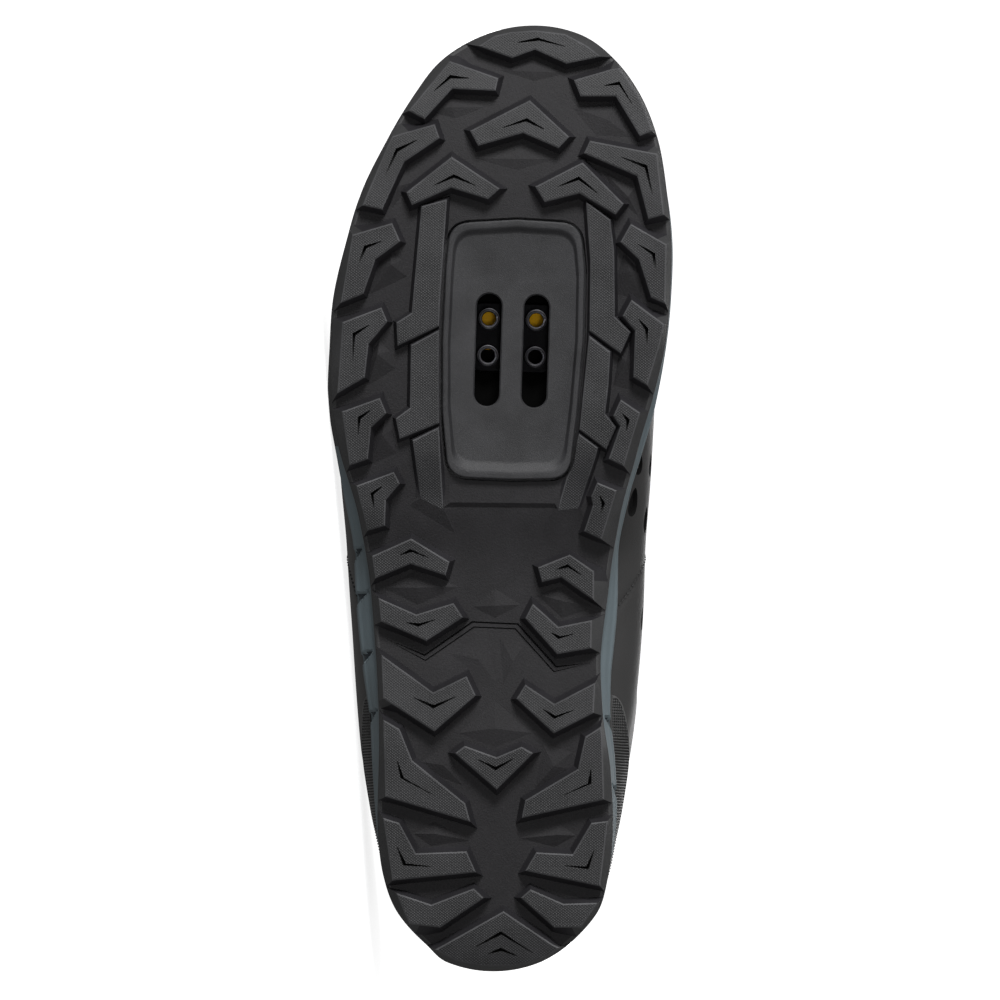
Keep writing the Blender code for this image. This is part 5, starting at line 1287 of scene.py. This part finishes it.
@dataclass
class Midsole:
    """Foam midsole: flared side with slanted, hatched slots darkened as painted shade, and a pocket for the
    bed and the nut plate.
    """

    last: Last
    bed: CleatBed
    outsole: Outsole
    slot_depth: float = 0.0010
    slot_reach: float = 0.0021
    slot_slant: float = 0.0050
    slot_taper: tuple[float, float] = (0.12, 0.85)
    slot_foot: tuple[float, float] = (0.14, 0.24)
    slot_head: tuple[float, float] = (0.93, 0.97)
    wrap: tuple[float, float] = (0.554, 0.80)
    slots: tuple[tuple[float, int], ...] = (
        (0.442, 1), (0.395, 1), (0.332, 1), (0.270, 1), (0.263, -1), (0.190, -1))
    steps: int = 520
    profile: tuple[tuple[float, float, float], ...] = (
        (0.00, 0.0, 0.9), (0.04, 0.0, 0.3), (0.10, 0.0, 0.0), (0.40, 0.45, 0.0), (0.55, 0.72, 0.12),
        (0.66, 0.92, 0.0), (0.80, 1.0, 0.0), (0.92, 1.0, 0.0), (0.97, 1.0, 0.45), (1.00, 1.0, 1.3))

    def bottom(self, y: np.ndarray) -> np.ndarray:
        """Height of its lower face."""
        return self.last.floor(y) + self.last.gap

    def top(self, y: np.ndarray) -> np.ndarray:
        """Height of its upper face."""
        return self.last.feather(y) - self.last.gap

    def loop(self, table: Sequence[Sequence[float]]) -> np.ndarray:
        """An edge loop that keeps inside the outsole's raised rim at toe and heel."""
        last = self.last
        loop = last.loop(table, count=self.steps)
        lift = last.follow(BUMPER_HEIGHT, 1, rounded(loop[:, 1] / last.length))
        near = smoothstep(0, 0.04, np.abs(lift))[:, None]
        room = last.loop(OUTSOLE_EDGE, self.outsole.bumper_wall + 2 * last.gap, self.steps)
        return loop * (1 - near) + room * near

    def make(self, place: Placement) -> bpy.types.Object:
        """The midsole: a profile carried round the edge, blended from the sole's outline to the flare.

        Beside the ball, its lateral side is black.
        """
        last = self.last
        foot, flare = self.loop(OUTSOLE_EDGE), self.loop(MIDSOLE_EDGE)
        knots = np.array(self.profile)
        levels = np.unique(np.concatenate([np.linspace(0, 1, 41), knots[:, 0]]))
        blend = smooth_curve(knots[:, 0], knots[:, 1], levels)
        inset = smooth_curve(knots[:, 0], knots[:, 2], levels) * MM
        lateral = np.arange(len(foot)) < len(foot) / 2
        rings, masks = [], []
        for level, share, drawn in zip(levels, blend, inset):
            line = foot * (1 - share) + flare * share
            mask = np.zeros(len(line))
            for along, side in self.slots:
                centre = along * last.length - self.slot_slant * (level - 0.6)
                reach = self.slot_reach * smoothstep(*self.slot_taper, level)
                near = 1 - smoothstep(0.75, 1.0, np.abs(line[:, 1] - centre) / (reach + 1e-6))
                band = smoothstep(*self.slot_foot, level) * (1 - smoothstep(*self.slot_head, level))
                mask = np.maximum(mask, near * band * (lateral == (side > 0)))
            low, high = self.bottom(line[:, 1]), self.top(line[:, 1])
            side_line = drawn_in(line, drawn + self.slot_depth * mask)
            rings.append(np.column_stack([side_line, low + (high - low) * level]))
            masks.append(mask)
        form = Form()
        mask = np.stack(masks)
        mask = np.concatenate([mask, mask[:, :1]], axis=1)
        # Slot faces take the darker foam finish (1): painted shade
        faces = (mask[:-1, :-1] + mask[1:, :-1] + mask[1:, 1:] + mask[:-1, 1:]) / 4 > 0.75
        along = foot[:, 1] / last.length
        wrapped = lateral & (along > self.wrap[0]) & (along < self.wrap[1])
        form.grid(np.stack(rings), around=True, finish=np.where(wrapped[None, :], 2, faces.astype(int)))
        pocket = drawn_in(self.bed.outline(), -self.bed.flange - last.gap)
        for ring, height in ((rings[0], self.bottom), (rings[-1], self.top)):
            cap(form, ring[:, :2], [pocket], height)
        form.grid(np.stack([raised(pocket, self.bottom), raised(pocket, self.top)]), around=True)
        finishes = [FOAM, FOAM_SLOT_SHADE, SOLE_SIDE]
        return dress(form, "midsole_foam", place, finishes, ["midsole"], sharp_degrees=30)


@dataclass
class Footbed:
    """Footbed: yellow foam below, knit above, with a raised edge round the heel and the arch."""

    last: Last
    wall: float = 0.0022
    thick: float = 0.0035
    cup: float = 0.0060
    cup_end: tuple[float, float] = (0.45, 0.75)
    patch: tuple[float, float] = (0.6565, 0.6995)

    def make(self, place: Placement) -> bpy.types.Object:
        """The footbed: two heights over one plan grid, the upper one lifted by the fourth power across.

        Its underside is black but for one yellow band across it, behind the front barrels.
        """
        last = self.last
        back = last.heel_set + last.heel_curve / 3 + self.wall
        front = last.length - last.toe_set - self.wall
        patch = (np.array(self.patch) * last.length - back) / (front - back)
        stations = np.unique(np.concatenate([np.linspace(0.004, 0.996, 150), rounded(patch)]))
        position = stations[:, None]
        across = np.linspace(-1, 1, 41)[None, :]
        between = share_along((stations[:-1] + stations[1:]) / 2)
        band = (between > patch[0]) & (between < patch[1])
        under_finish = np.repeat(np.where(band, 0, 2), across.shape[1] - 1)
        centre, half = last.edge(FEATHER_EDGE, position)
        half = half - self.wall - 3 * last.gap
        y = back + (front - back) * share_along(position) + 0 * across
        x = centre + np.maximum(half, 0.0) * across
        low = last.feather(y)
        lift = self.cup * (1 - smoothstep(*self.cup_end, share_along(position)))
        high = low + self.thick + lift * np.abs(across) ** 4
        under, over = np.stack([x, y, low], -1), np.stack([x, y, high], -1)
        form = Form()
        form.grid(under, finish=under_finish)
        form.grid(over, finish=1)
        for side in (0, -1):
            form.grid(np.stack([under[:, side], over[:, side]]), finish=2)
            form.grid(np.stack([under[side], over[side]]), finish=2)
        finishes = [FOOTBED_PRINT, FOOTBED_KNIT, FOOTBED_FOAM]
        return dress(form, "footbed_moulded", place, finishes, ["insole"])


@dataclass
class Upper:
    """The hollow upper: outer skin, padded collar, lining, vents, creases and seams."""

    last: Last
    wall: float = 0.0022
    collar_wall: float = 0.0060
    throat_half: float = 0.0185
    throat_top: float = 0.37
    throat_round: float = 0.645
    throat_end: float = 0.70
    throat_taper: float = 0.3
    swell: float = 0.0012
    rim_blend: float = 0.035
    vent_out: float = 0.0012
    vent_in: float = -0.0016
    stations: int = 300
    rows: int = 54

    def rim(self, position: np.ndarray, side: int) -> np.ndarray:
        """How far up its section the edge stands: the soft lesser of the collar's line and the throat's."""
        last = self.last
        s = last.section(position)
        along = share_along(position)
        rows = np.array(COLLAR)
        height = last.collar * smooth_curve(rows[:, 0], rows[:, 1 if side > 0 else 2], along)
        share = np.clip((height - s["bulge"]) / (s["ridge"] - s["bulge"]), 0, 1)
        from_collar = np.where(along > rows[-1, 0], 2.0, np.arcsin(share) / (math.pi / 2))
        end = np.clip((along - self.throat_round) / (self.throat_end - self.throat_round), 0, 1)
        taper = np.clip((along - self.throat_top) / (self.throat_end - self.throat_top), 0, 1)
        gap = self.throat_half * (1 - self.throat_taper * taper) * np.sqrt(1 - end**2)
        reach = np.clip(gap / np.maximum(s["half"], gap + last.gap), 0, 1) ** (1 / s["power"])
        from_gap = np.where(along < self.throat_top / 2, 2.0, np.arccos(reach) / (math.pi / 2))
        blend = self.rim_blend
        lesser = -blend * np.logaddexp(-from_collar / blend, -from_gap / blend)
        rise = last.low + (1 - last.low) * lesser
        return np.where(along >= self.throat_end, 1.0, np.minimum(rise, 1.0))

    def spread(self) -> np.ndarray:
        """Stations along the upper, closer together at the collar's front corner and the throat's end."""
        even = np.linspace(0, 1, self.stations)
        corner = rounded(np.linspace(self.throat_top - 0.06, self.throat_top + 0.03, 14))
        end = rounded(np.linspace(self.throat_round, self.throat_end, 18))
        return np.unique(np.concatenate([even, corner, end]).round(6))

    def route(self, mark: Mark, count: int = 160) -> tuple[np.ndarray, np.ndarray]:
        """A mark's route as position and turn, curved smoothly through its points."""
        points = np.array(mark.route)
        knots = np.linspace(0, 1, len(points))
        at = np.linspace(0, 1, count)
        return rounded(smooth_curve(knots, points[:, 0], at)), smooth_curve(knots, points[:, 1], at)

    def relief(self, position: np.ndarray, turn: np.ndarray) -> np.ndarray:
        """How far the skin stands out: each mark is its height times a bell of the distance to its route."""
        points = self.last.face(position, turn)
        out = np.zeros(points.shape[:-1])
        for mark in (*CREASES, *SEAMS):
            line = self.last.face(*self.route(mark))
            apart = np.full(out.shape, np.inf)
            for part in np.array_split(line, 8):
                gap = np.linalg.norm(points[..., None, :] - part, axis=-1).min(axis=-1)
                apart = np.minimum(apart, gap)
            out += mark.out_mm * MM * np.exp(-((apart / (mark.half_mm * MM)) ** 2))
        return out

    def padding(self, along: np.ndarray, share: np.ndarray) -> np.ndarray:
        """Where the collar is padded, from 0 to 1."""
        return np.clip((self.throat_top - 0.03 - along) / 0.06, 0, 1) * smoothstep(0.5, 0.85, share)

    def make(self, place: Placement) -> bpy.types.Object:
        """The shell: outer and inner grids on each side, joined by a rolled rim and at the feather line."""
        stations = self.spread()
        form = Form()
        share = np.linspace(0, 1, self.rows + 1)[None, :]
        along = share_along(stations)
        for side in (1, -1):
            rise = self.rim(stations, side)[:, None] * share
            turn = side * (1 - rise)
            position = stations[:, None] + 0 * share
            pad = self.padding(along[:, None], share)
            swell = self.swell * pad * np.sin(math.pi * np.clip((share - 0.55) / 0.45, 0, 1))
            relief = self.relief(position, turn) * smoothstep(0, 0.03, share)
            out = relief * (1 - smoothstep(0.985, 1, share)) + swell
            thick = self.wall + (self.collar_wall - self.wall) * pad
            outer = self.last.offset(position, turn, out)
            inner = self.last.offset(position, turn, -thick)
            form.grid(outer)
            form.grid(inner, finish=1)
            form.grid(np.stack([outer[:, 0], inner[:, 0]]))
            opened = np.flatnonzero(along < self.throat_end + 1e-6)
            a, b = outer[opened, -1], inner[opened, -1]
            upwards = outer[opened, -1] - outer[opened, -2]
            upwards /= np.linalg.norm(upwards, axis=1, keepdims=True)
            through = np.linalg.norm(a - b, axis=1, keepdims=True) / 2
            closing = (1 - smoothstep(self.throat_end - 0.012, self.throat_end, along[opened]))[:, None]
            middle, half_wall, lift = (a + b) / 2, (a - b) / 2, upwards * through * closing * 0.8
            rolls = [middle + half_wall * math.cos(t) + lift * math.sin(t)
                     for t in np.linspace(0, math.pi, 9)]
            form.grid(np.stack(rolls), finish=2)
        finishes = [MICROFIBRE, LINING, MICROFIBRE, VENT_MESH]
        return dress(form, "upper_shell", place, finishes, ["upper"], sharp_degrees=50,
                     cutters=self.vents())

    def vents(self) -> Form:
        """Blind drop-shaped cutters, from just outside the skin to just inside its lining."""
        last = self.last
        form = Form()
        turns = np.linspace(0, 2 * math.pi, 28, endpoint=False)
        for vent in VENTS:
            drop = 1 + 0.28 * np.sin(turns)
            u = vent.length_mm * MM / 2 * np.sin(turns)
            v = vent.width_mm * MM / 2 * np.cos(turns) * (2 - drop)
            u, v = u + vent.lean * v, v - vent.lean * u
            position, rise = rounded(np.array([vent.along])), np.array([vent.rise])
            step = 1e-3
            here = last.face(position, rise - 1)
            per_rise = np.linalg.norm(last.face(position, rise + step - 1) - here) / step
            along = rounded(vent.along + u / last.length)
            turn = -1 + vent.rise + v / per_rise
            rings = [last.offset(along, turn, out) for out in (self.vent_out, self.vent_in)]
            caps = [ring.mean(axis=0) + 0 * ring for ring in rings]
            form.grid(np.stack([caps[0], rings[0]]), around=True, finish=3)
            form.grid(np.stack(rings), around=True, finish=3)
            form.grid(np.stack([rings[1], caps[1]]), around=True, finish=3)
        return form


@dataclass
class HeelCounter:
    """Ribbed overlay round the heel, with a smooth raised border."""

    last: Last
    thick: float = 0.0010
    rib_pitch: float = 0.00085
    rib_depth: float = 0.00042
    row_height: float = 0.0011
    net: tuple[float, float] = (0.011, 0.015)
    border: tuple[float, float] = (0.0009, 0.0011)
    foot_fade: float = 0.0008
    edge_drop: float = 0.0001
    round_edge: float = 0.0004
    border_band: float = 0.0003
    foot: float = 0.02

    def make(self, place: Placement) -> bpy.types.Object:
        """The overlay: a raised border, and inside it ribs that turn into a net near the front ends.

        The ribs are a cosine of the distance round the heel, and the net is a product of two cosines.
        """
        last = self.last
        end = float(rounded(np.array([COUNTER[-1][0]]))[0])
        coarse = np.linspace(-end, end, 801)
        track = last.face(np.abs(coarse), np.where(coarse >= 0, 0.9, -0.9))
        walked = np.concatenate([[0], np.cumsum(np.linalg.norm(np.diff(track, axis=0), axis=1))])
        count = int(walked[-1] / self.rib_pitch * 6)
        distance = np.linspace(0, walked[-1], count)[:, None]
        round_heel = np.interp(distance, walked, coarse)
        v = np.linspace(0, 1, 49)[None, :]
        share = last.follow(COUNTER, 1, np.abs(round_heel))
        rise = self.foot + (last.low * share - self.foot) * v
        turn = np.where(round_heel >= 0, 1.0, -1.0) * (1 - rise)
        position = np.abs(round_heel) + 0 * v
        face = last.face(position, turn)
        steps = np.linalg.norm(np.diff(face, axis=1), axis=2)
        up = np.concatenate([np.zeros((count, 1)), np.cumsum(steps, axis=1)], 1)
        left = up[:, -1:] - up
        ends = np.minimum(distance, walked[-1] - distance)
        margin = np.minimum(left, ends + 0 * v)
        inside = smoothstep(*self.border, margin) * smoothstep(0.0, self.foot_fade, up)
        along, over = math.pi * distance / self.rib_pitch, math.pi * up / self.row_height
        straight = smoothstep(*self.net, ends) + 0 * up
        net = np.abs(np.cos(along) * np.cos(over)) ** 0.7
        ribs = (0.5 + 0.5 * np.cos(2 * along)) * straight + net * (1 - straight)
        edge = np.sqrt(np.clip(1 - (1 - np.clip(margin / self.round_edge, 0, 1)) ** 2, 0, 1))
        out = last.gap + (self.thick - self.edge_drop) * edge - inside * self.rib_depth * (1 - ribs)
        outer, inner = last.offset(position, turn, out), last.offset(position, turn, last.gap)
        # Grooves between ribs take the darker film finish: painted shade
        low = (inside * (1 - ribs) > 0.5)[:-1, :-1]
        # Along a narrow band at the border the film is slightly darker and glossier
        finish = np.where(low, 1, np.where(margin[:-1, :-1] < self.border_band, 2, 0))
        form = Form()
        form.grid(outer, finish=finish)
        form.grid(inner[:, ::8])
        for side in (0, -1):
            form.grid(np.stack([outer[:, side], inner[:, side]]))
            form.grid(np.stack([outer[side], inner[side]]))
        finishes = [FILM, FILM_GROOVE_SHADE, FILM_EDGE]
        return dress(form, "heel_counter_ribbed", place, finishes, ["heel_counter"],
                     sharp_degrees=60)


def band_section(count: int, power: float) -> tuple[np.ndarray, np.ndarray]:
    """A rounded rectangle as width and height from -1 to 1: cosine and sine, each to a small power."""
    turns = np.linspace(0, 2 * math.pi, count, endpoint=False)
    cos, sin = np.cos(turns), np.sin(turns)
    return np.sign(cos) * np.abs(cos) ** power, np.sign(sin) * np.abs(sin) ** power


@dataclass
class Strap:
    """One hook-and-loop strap over the throat, stitched along its edges, with a rounded free end."""

    last: Last
    name: str
    middle: float
    skew: float
    width: float
    medial: float
    lateral: float
    thick: float = 0.0022
    straight: float = 0.88
    tip: float = 0.12
    stitch_inset: float = 0.0020

    def place_at(self, v: np.ndarray, w: np.ndarray) -> tuple[np.ndarray, np.ndarray]:
        """Position and turn of a point v along the strap and w across it."""
        turn = self.medial + (self.lateral - self.medial) * v
        end = np.sqrt(np.clip(1 - np.clip((v - self.straight) / self.tip, 0, 1) ** 2, 0, 1))
        along = self.middle + self.skew * turn + w * end * self.width / 2 / self.last.length
        return rounded(along), turn + 0 * w

    def make(self, place: Placement) -> None:
        """The strap: a rounded rectangle carried along the upper's face, closed at both ends."""
        tip = self.straight + self.tip * np.sin(np.linspace(0, math.pi / 2, 16))[1:]
        v = np.concatenate([[0, 0], np.linspace(0, self.straight, 60), tip])
        scale = np.ones(len(v))
        scale[0] = 0.0
        w, h = band_section(32, 0.35)
        position, turn = self.place_at(v[:, None], w[None, :] * scale[:, None])
        out = self.last.gap + self.thick / 2 + self.thick / 2 * h[None, :] * scale[:, None]
        form = Form()
        form.grid(self.last.offset(position, turn, out), around=True)
        dress(form, f"{self.name}_band", place, [STRAP], [self.name], sharp_degrees=50)
        stitches = Form()
        inset = 1 - 2 * self.stitch_inset / self.width
        for side in (1, -1):
            t = np.linspace(0.03, 0.965, 400)
            position, turn = self.place_at(t, np.full(len(t), side * inset))
            path = self.last.offset(position, turn, self.last.gap + self.thick)
            sew(stitches, path, self.last.normal(position, turn))
        dress(stitches, f"{self.name}_stitching", place, [THREAD])


def sew(form: Form, path: np.ndarray, normals: np.ndarray, pitch: float = 0.0026, length: float = 0.0019,
        radius: float = 0.00020) -> None:
    """Adds a row of stitches along a path: short tubes with pointed ends, sunk by half their thickness.

    Args:
        form: Where they go.
        path: Points along the row.
        normals: The surface's normals there.
        pitch: From stitch to stitch.
        length: Of one stitch.
        radius: Of the thread.
    """
    walked = np.concatenate([[0], np.cumsum(np.linalg.norm(np.diff(path, axis=0), axis=1))])
    at = np.arange(pitch, walked[-1] - pitch / 2, pitch)
    centre = np.column_stack([np.interp(at, walked, path[:, k]) for k in range(3)])
    ahead = np.column_stack([np.interp(at + 1e-4, walked, path[:, k]) for k in range(3)]) - centre
    ahead /= np.linalg.norm(ahead, axis=1, keepdims=True)
    normal = np.column_stack([np.interp(at, walked, normals[:, k]) for k in range(3)])
    normal -= ahead * np.sum(ahead * normal, axis=1, keepdims=True)
    normal /= np.linalg.norm(normal, axis=1, keepdims=True)
    side = np.cross(ahead, normal)
    u = np.linspace(-1, 1, 7)
    turns = np.linspace(0, 2 * math.pi, 6, endpoint=False)
    thick = radius * np.sqrt(1 - u**2)
    x = (u * length / 2)[:, None] + 0 * turns
    y, z = thick[:, None] * np.cos(turns), thick[:, None] * np.sin(turns) + 0.15 * radius
    tubes = (centre[:, None, None] + x[..., None] * ahead[:, None, None] + y[..., None] * side[:, None, None]
             + z[..., None] * normal[:, None, None])
    for tube in tubes:
        form.grid(tube, around=True)


@dataclass
class Tongue:
    """Padded tongue under the throat, with a bound edge."""

    last: Last
    foot: float = 0.725
    top: float = 0.325
    thick: float = 0.0035
    wall: float = 0.0022
    half_turn: float = 0.31
    flare: float = 0.03
    taper: float = 0.10
    droop: float = 0.012
    quilt: float = 0.0003
    quilt_rows: int = 9

    def make(self, place: Placement) -> bpy.types.Object:
        """The tongue: a rounded section carried along the last, thinner at its ends."""
        u = np.concatenate([[0, 0], np.linspace(0, 1, 90), [1.0]])[:, None]
        scale = np.concatenate([[0], np.ones(91), [0]])[:, None]
        w, h = band_section(48, 0.4)
        w, h = w[None, :] * scale, h[None, :] * scale
        half = self.half_turn + self.flare * u - self.taper * np.clip((u - 0.85) / 0.15, 0, 1) ** 2
        along = self.foot + (self.top - self.foot) * u + self.droop * u * w**2
        quilt = self.quilt * np.cos(2 * math.pi * u * self.quilt_rows) * (np.abs(w) < 0.8)
        half_thick = self.thick / 2
        out = -(self.wall + 3 * self.last.gap) - half_thick + (half_thick - self.quilt) * h + quilt * (h > 0)
        form = Form()
        form.grid(self.last.offset(rounded(along), half * w, out), around=True)
        return dress(form, "tongue_padded", place, [LINING], ["tongue"], sharp_degrees=50)


@dataclass
class Seams:
    """Rows of stitches along the upper's seams and round its collar."""

    last: Last
    upper: Upper
    proud: float = 0.0003

    def make(self, place: Placement) -> bpy.types.Object:
        """All rows as one piece."""
        form = Form()
        for seam in SEAMS:
            position, turn = self.upper.route(seam, 500)
            path = self.last.offset(position, turn, 0.0)
            sew(form, path, self.last.normal(position, turn), pitch=0.0017, length=0.0012, radius=0.00022)
        for side in (1, -1):
            position = rounded(np.linspace(0.0, self.upper.throat_end - 0.02, 900))
            share = smooth_curve([0, 0.3, 0.38, 1], [0.86, 0.88, 0.95, 0.95], share_along(position))
            turn = side * (1 - self.upper.rim(position, side) * share)
            path = self.last.offset(position, turn, self.upper.relief(position, turn) + self.proud)
            sew(form, path, self.last.normal(position, turn))
        return dress(form, "upper_stitching", place, [THREAD])


@dataclass
class Studio:
    """Pale floor with a wall well behind the shoe, soft lights, and the camera square to the sole."""

    place: Placement
    last: Last
    lens: float = 400.0
    sensor: float = 36.0
    frame_width: float = 0.2945
    picture_px: int = 1000
    heel_y_px: float = 973.0
    lamps: tuple[tuple[str, tuple[float, float, float], float, float], ...] = (
        ("key", (-1.3, 1.5, 0.45), 0.6, 30.0),
        ("front", (-1.9, -0.3, 0.45), 0.5, 5.0),
        ("top", (0.1, 0.2, 1.8), 1.2, 4.0),
        ("back", (1.8, 0.1, 0.4), 0.9, 6.0),
    )

    def floor(self) -> None:
        """A flat board, and beyond it a lit one that ends in a wall well behind the shoe."""
        near, far, distant, top, half = -2.6, 1.6, 6.5, 3.0, 3.2
        x = np.array([near, far, distant, distant])
        z = np.array([0.0, 0.0, 0.0, top])
        y = np.array([-half, half])
        points = np.stack(np.broadcast_arrays(x[:, None], y[None, :], z[:, None]), -1)
        mesh = bpy.data.meshes.new("floor")
        index = np.arange(len(x) * 2).reshape(-1, 2)
        quads = np.stack([index[:-1, 0], index[1:, 0], index[1:, 1], index[:-1, 1]], -1)
        mesh.from_pydata(points.reshape(-1, 3).tolist(), [], quads.tolist())
        for name, glow in (("painted_board", 0.80), ("lit_board", 1.05)):
            made = bpy.data.materials.new(name)
            made.use_nodes = True
            shader = made.node_tree.nodes["Principled BSDF"]
            shader.inputs["Base Color"].default_value = linear("#f4f4f4")
            shader.inputs["Roughness"].default_value = 0.9
            shader.inputs["Emission Color"].default_value = (1.0, 1.0, 1.0, 1.0)
            shader.inputs["Emission Strength"].default_value = glow
            mesh.materials.append(made)
        mesh.polygons.foreach_set("material_index", [0, 1, 1])
        floor = bpy.data.objects.new("floor", mesh)
        # The board is seen but throws no light back, as with black flags round the subject
        floor.visible_diffuse = False
        floor.visible_glossy = False
        bpy.context.scene.collection.objects.link(floor)

    def lamp(self, name: str, where: tuple[float, float, float], size: float, power: float) -> None:
        """A square soft light that faces the shoe's middle, with its side in metres and power in watts."""
        data = bpy.data.lights.new(name, "AREA")
        data.size = size
        data.energy = power
        made = bpy.data.objects.new(name, data)
        middle = Vector((0.0, 0.0, 0.05))
        made.location = Vector(where)
        made.rotation_euler = (middle - made.location).to_track_quat("-Z", "Y").to_euler()
        bpy.context.scene.collection.objects.link(made)

    def camera(self) -> None:
        """The camera: it looks straight at the sole with the toe up, as far off as the lens needs."""
        ahead = self.place.direction(0, 0, 1)
        up = self.place.direction(0, 1, 0)
        right = ahead.cross(up)
        metres_per_px = self.frame_width / self.picture_px
        middle_y = (self.heel_y_px - self.picture_px / 2) * metres_per_px
        target = Vector(self.place.laid(np.array([[0.0, middle_y, 0.0]]))[0])
        distance = self.lens / self.sensor * self.frame_width
        data = bpy.data.cameras.new("camera")
        data.lens = self.lens
        data.sensor_width = self.sensor
        made = bpy.data.objects.new("camera", data)
        turn = Matrix((right, up, -ahead)).transposed()
        made.matrix_world = Matrix.Translation(target - ahead * distance) @ turn.to_4x4()
        bpy.context.scene.collection.objects.link(made)
        bpy.context.scene.camera = made

    def make(self) -> None:
        """Floor, lights, sky and camera."""
        self.floor()
        for lamp in self.lamps:
            self.lamp(*lamp)
        world = bpy.data.worlds.new("sky")
        world.use_nodes = True
        sky = world.node_tree.nodes["Background"]
        sky.inputs["Color"].default_value = (1.0, 1.0, 1.0, 1.0)
        sky.inputs["Strength"].default_value = 0.16
        bpy.context.scene.world = world
        bpy.context.scene.view_settings.view_transform = "Standard"
        self.camera()


def main() -> None:
    """Loads the frame, makes every piece in order, and sets the stage."""
    logging.basicConfig(level=logging.INFO, format="%(message)s")
    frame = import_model()
    last = Last()
    place = Placement(frame["record"], last)
    Studio(place, last).make()
    bed = CleatBed(last)
    outsole = Outsole(last, bed)
    upper = Upper(last)
    outsole.make(place)
    bed.make(place)
    NutPlate(bed).make(place)
    Midsole(last, bed, outsole).make(place)
    Footbed(last).make(place)
    upper.make(place)
    HeelCounter(last).make(place)
    Tongue(last).make(place)
    for strap in (
        Strap(last, "strap_toe", 0.650, -0.030, 0.022, -0.50, 0.50),
        Strap(last, "strap_middle", 0.545, -0.020, 0.023, -0.50, 0.47),
        Strap(last, "strap_instep", 0.438, -0.010, 0.026, -0.50, 0.46),
    ):
        strap.make(place)
    Seams(last, upper).make(place)


if __name__ == "__main__":
    main()
